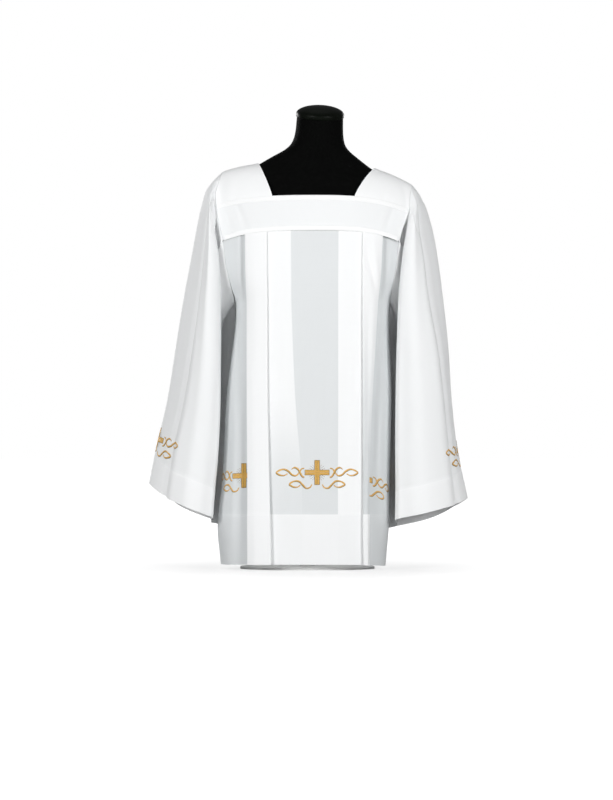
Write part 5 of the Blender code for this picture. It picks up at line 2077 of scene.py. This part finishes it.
class SURPLICE_OT_stage(bpy.types.Operator):
    """Lay the floor, hang the lights and set up the camera."""

    bl_idname = "surplice.stage"
    bl_label = "Stage"

    def execute(self, context):
        stage = context.scene.surplice_stage
        self.floor(stage)
        self.world(stage)
        target = Vector((-0.002, 0.0, stage.camera_height))
        self.lamp("light_right", (-2.7, -3.3, 1.60), target, 1.3, stage.key)
        self.lamp("light_left", (2.7, -3.3, 1.50), target, 1.3, stage.key)
        self.lamp("light_above", (0.0, 0.3, 3.2), target, 1.8, stage.key * 0.04)
        self.lamp("light_low", (0.0, -3.6, 0.12), Vector((0.0, 0.0, 0.05)), 0.4, stage.key * 0.07)
        self.lamp("light_under", (0.0, -0.01, 0.20), Vector((0.0, -0.01, 0.0)), 0.14, stage.key * 0.0020)
        self.lamp("light_behind_right", (-2.2, 3.6, 1.5), target, 1.4, stage.key * 0.62)
        self.lamp("light_behind_left", (1.3, 3.9, 1.5), target, 1.4, stage.key * 0.40)
        camera_data = bpy.data.cameras.new("camera")
        camera_data.lens = stage.lens
        camera = bpy.data.objects.new("camera", camera_data)
        context.scene.collection.objects.link(camera)
        distance = stage.picture_height * stage.lens / camera_data.sensor_width
        camera.location = target - Vector((0.0, distance + 0.04, 0.0))
        camera.rotation_euler = (math.pi / 2, 0.0, 0.0)
        context.scene.camera = camera
        context.scene.view_settings.view_transform = "Standard"
        return {"FINISHED"}

    def floor(self, stage):
        """A round floor with painted light: it glows for the camera, brightening to plain white far from the form and
        dimmer near it as a painted shadow.
        """
        shape = bmesh.new()
        bmesh.ops.create_circle(shape, cap_ends=True, cap_tris=True, segments=96, radius=stage.floor_radius)
        mesh = bpy.data.meshes.new("floor")
        shape.to_mesh(mesh)
        shape.free()
        made, tree, shader = new_material("plain floor")
        place = node(tree, "ShaderNodeTexCoord")
        # Painted light and shadow: camera rays see the floor glow, weaker near the form and full white far away.
        far = node(tree, "ShaderNodeVectorMath", [(0, place.outputs["Object"])], operation="LENGTH")
        shade = node(tree, "ShaderNodeMapRange", [(0, far.outputs["Value"])], in_1=0.25, in_2=0.95, in_3=0.62, in_4=1.0)
        path = node(tree, "ShaderNodeLightPath")
        seen = node(tree, "ShaderNodeMath", [(0, shade.outputs[0]), (1, path.outputs["Is Camera Ray"])], operation="MULTIPLY")
        shader.inputs["Base Color"].default_value = (*stage.floor_colour, 1.0)
        shader.inputs["Roughness"].default_value = 0.9
        shader.inputs["Emission Color"].default_value = (1.0, 1.0, 1.0, 1.0)
        tree.links.new(seen.outputs[0], shader.inputs["Emission Strength"])
        mesh.materials.append(made)
        floor = bpy.data.objects.new("floor", mesh)
        bpy.context.scene.collection.objects.link(floor)

    def world(self, stage):
        """White all round, and dimmer as a light than it looks."""
        world = bpy.data.worlds.new("white studio")
        world.use_nodes = True
        tree = world.node_tree
        seen = tree.nodes["Background"]
        seen.inputs["Color"].default_value = (1.0, 1.0, 1.0, 1.0)
        seen.inputs["Strength"].default_value = 1.0
        light = node(tree, "ShaderNodeBackground", in_1=stage.fill)
        light.inputs["Color"].default_value = (0.97, 0.985, 1.0, 1.0)
        path = node(tree, "ShaderNodeLightPath")
        both = node(tree, "ShaderNodeMixShader", [(0, path.outputs["Is Camera Ray"])])
        tree.links.new(light.outputs[0], both.inputs[1])
        tree.links.new(seen.outputs[0], both.inputs[2])
        tree.links.new(both.outputs[0], tree.nodes["World Output"].inputs["Surface"])
        bpy.context.scene.world = world

    def lamp(self, name, place, target, size, power):
        data = bpy.data.lights.new(name, "AREA")
        data.shape = "DISK"
        data.size = size
        data.energy = power
        lamp = bpy.data.objects.new(name, data)
        bpy.context.scene.collection.objects.link(lamp)
        lamp.visible_camera = False
        lamp.location = place
        lamp.rotation_euler = (target - Vector(place)).to_track_quat("-Z", "Y").to_euler()


class SURPLICE_PT_panel(bpy.types.Panel):
    """Settings of the surplice, the dress form and the stage."""

    bl_idname = "SURPLICE_PT_panel"
    bl_label = "Surplice"
    bl_space_type = "VIEW_3D"
    bl_region_type = "UI"
    bl_category = "Surplice"

    def draw(self, context):
        for title, group, operators in PANEL_ROWS:
            box = self.layout.box()
            box.label(text=title)
            settings = getattr(context.scene, group)
            for name in settings.__annotations__:
                box.prop(settings, name)
            for operator in operators:
                box.operator(operator.bl_idname)


GROUPS = (
    ("surplice_form", FormSettings),
    ("surplice_cloth", ClothSettings),
    ("surplice_tape", TapeSettings),
    ("surplice_embroidery", EmbroiderySettings),
    ("surplice_stage", StageSettings),
)
BUILD_ORDER = (
    SURPLICE_OT_dress_form,
    SURPLICE_OT_stand,
    SURPLICE_OT_yoke,
    SURPLICE_OT_body,
    SURPLICE_OT_sleeves,
    SURPLICE_OT_tapes,
    SURPLICE_OT_embroidery,
    SURPLICE_OT_stage,
)
PANEL_ROWS = (
    ("Dress form", "surplice_form", (SURPLICE_OT_dress_form, SURPLICE_OT_stand)),
    ("Cloth", "surplice_cloth", (SURPLICE_OT_yoke, SURPLICE_OT_body, SURPLICE_OT_sleeves)),
    ("Tapes and thread", "surplice_tape", (SURPLICE_OT_tapes,)),
    ("Embroidery", "surplice_embroidery", (SURPLICE_OT_embroidery,)),
    ("Stage", "surplice_stage", (SURPLICE_OT_stage,)),
)


def register():
    for name, group in GROUPS:
        bpy.utils.register_class(group)
        setattr(bpy.types.Scene, name, PointerProperty(type=group))
    for operator in BUILD_ORDER:
        bpy.utils.register_class(operator)
    bpy.utils.register_class(SURPLICE_PT_panel)


def unregister():
    bpy.utils.unregister_class(SURPLICE_PT_panel)
    for operator in reversed(BUILD_ORDER):
        bpy.utils.unregister_class(operator)
    for name, group in reversed(GROUPS):
        delattr(bpy.types.Scene, name)
        bpy.utils.unregister_class(group)


def main():
    register()
    for operator in BUILD_ORDER:
        group, name = operator.bl_idname.split(".")
        getattr(getattr(bpy.ops, group), name)()


if __name__ == "__main__":
    main()
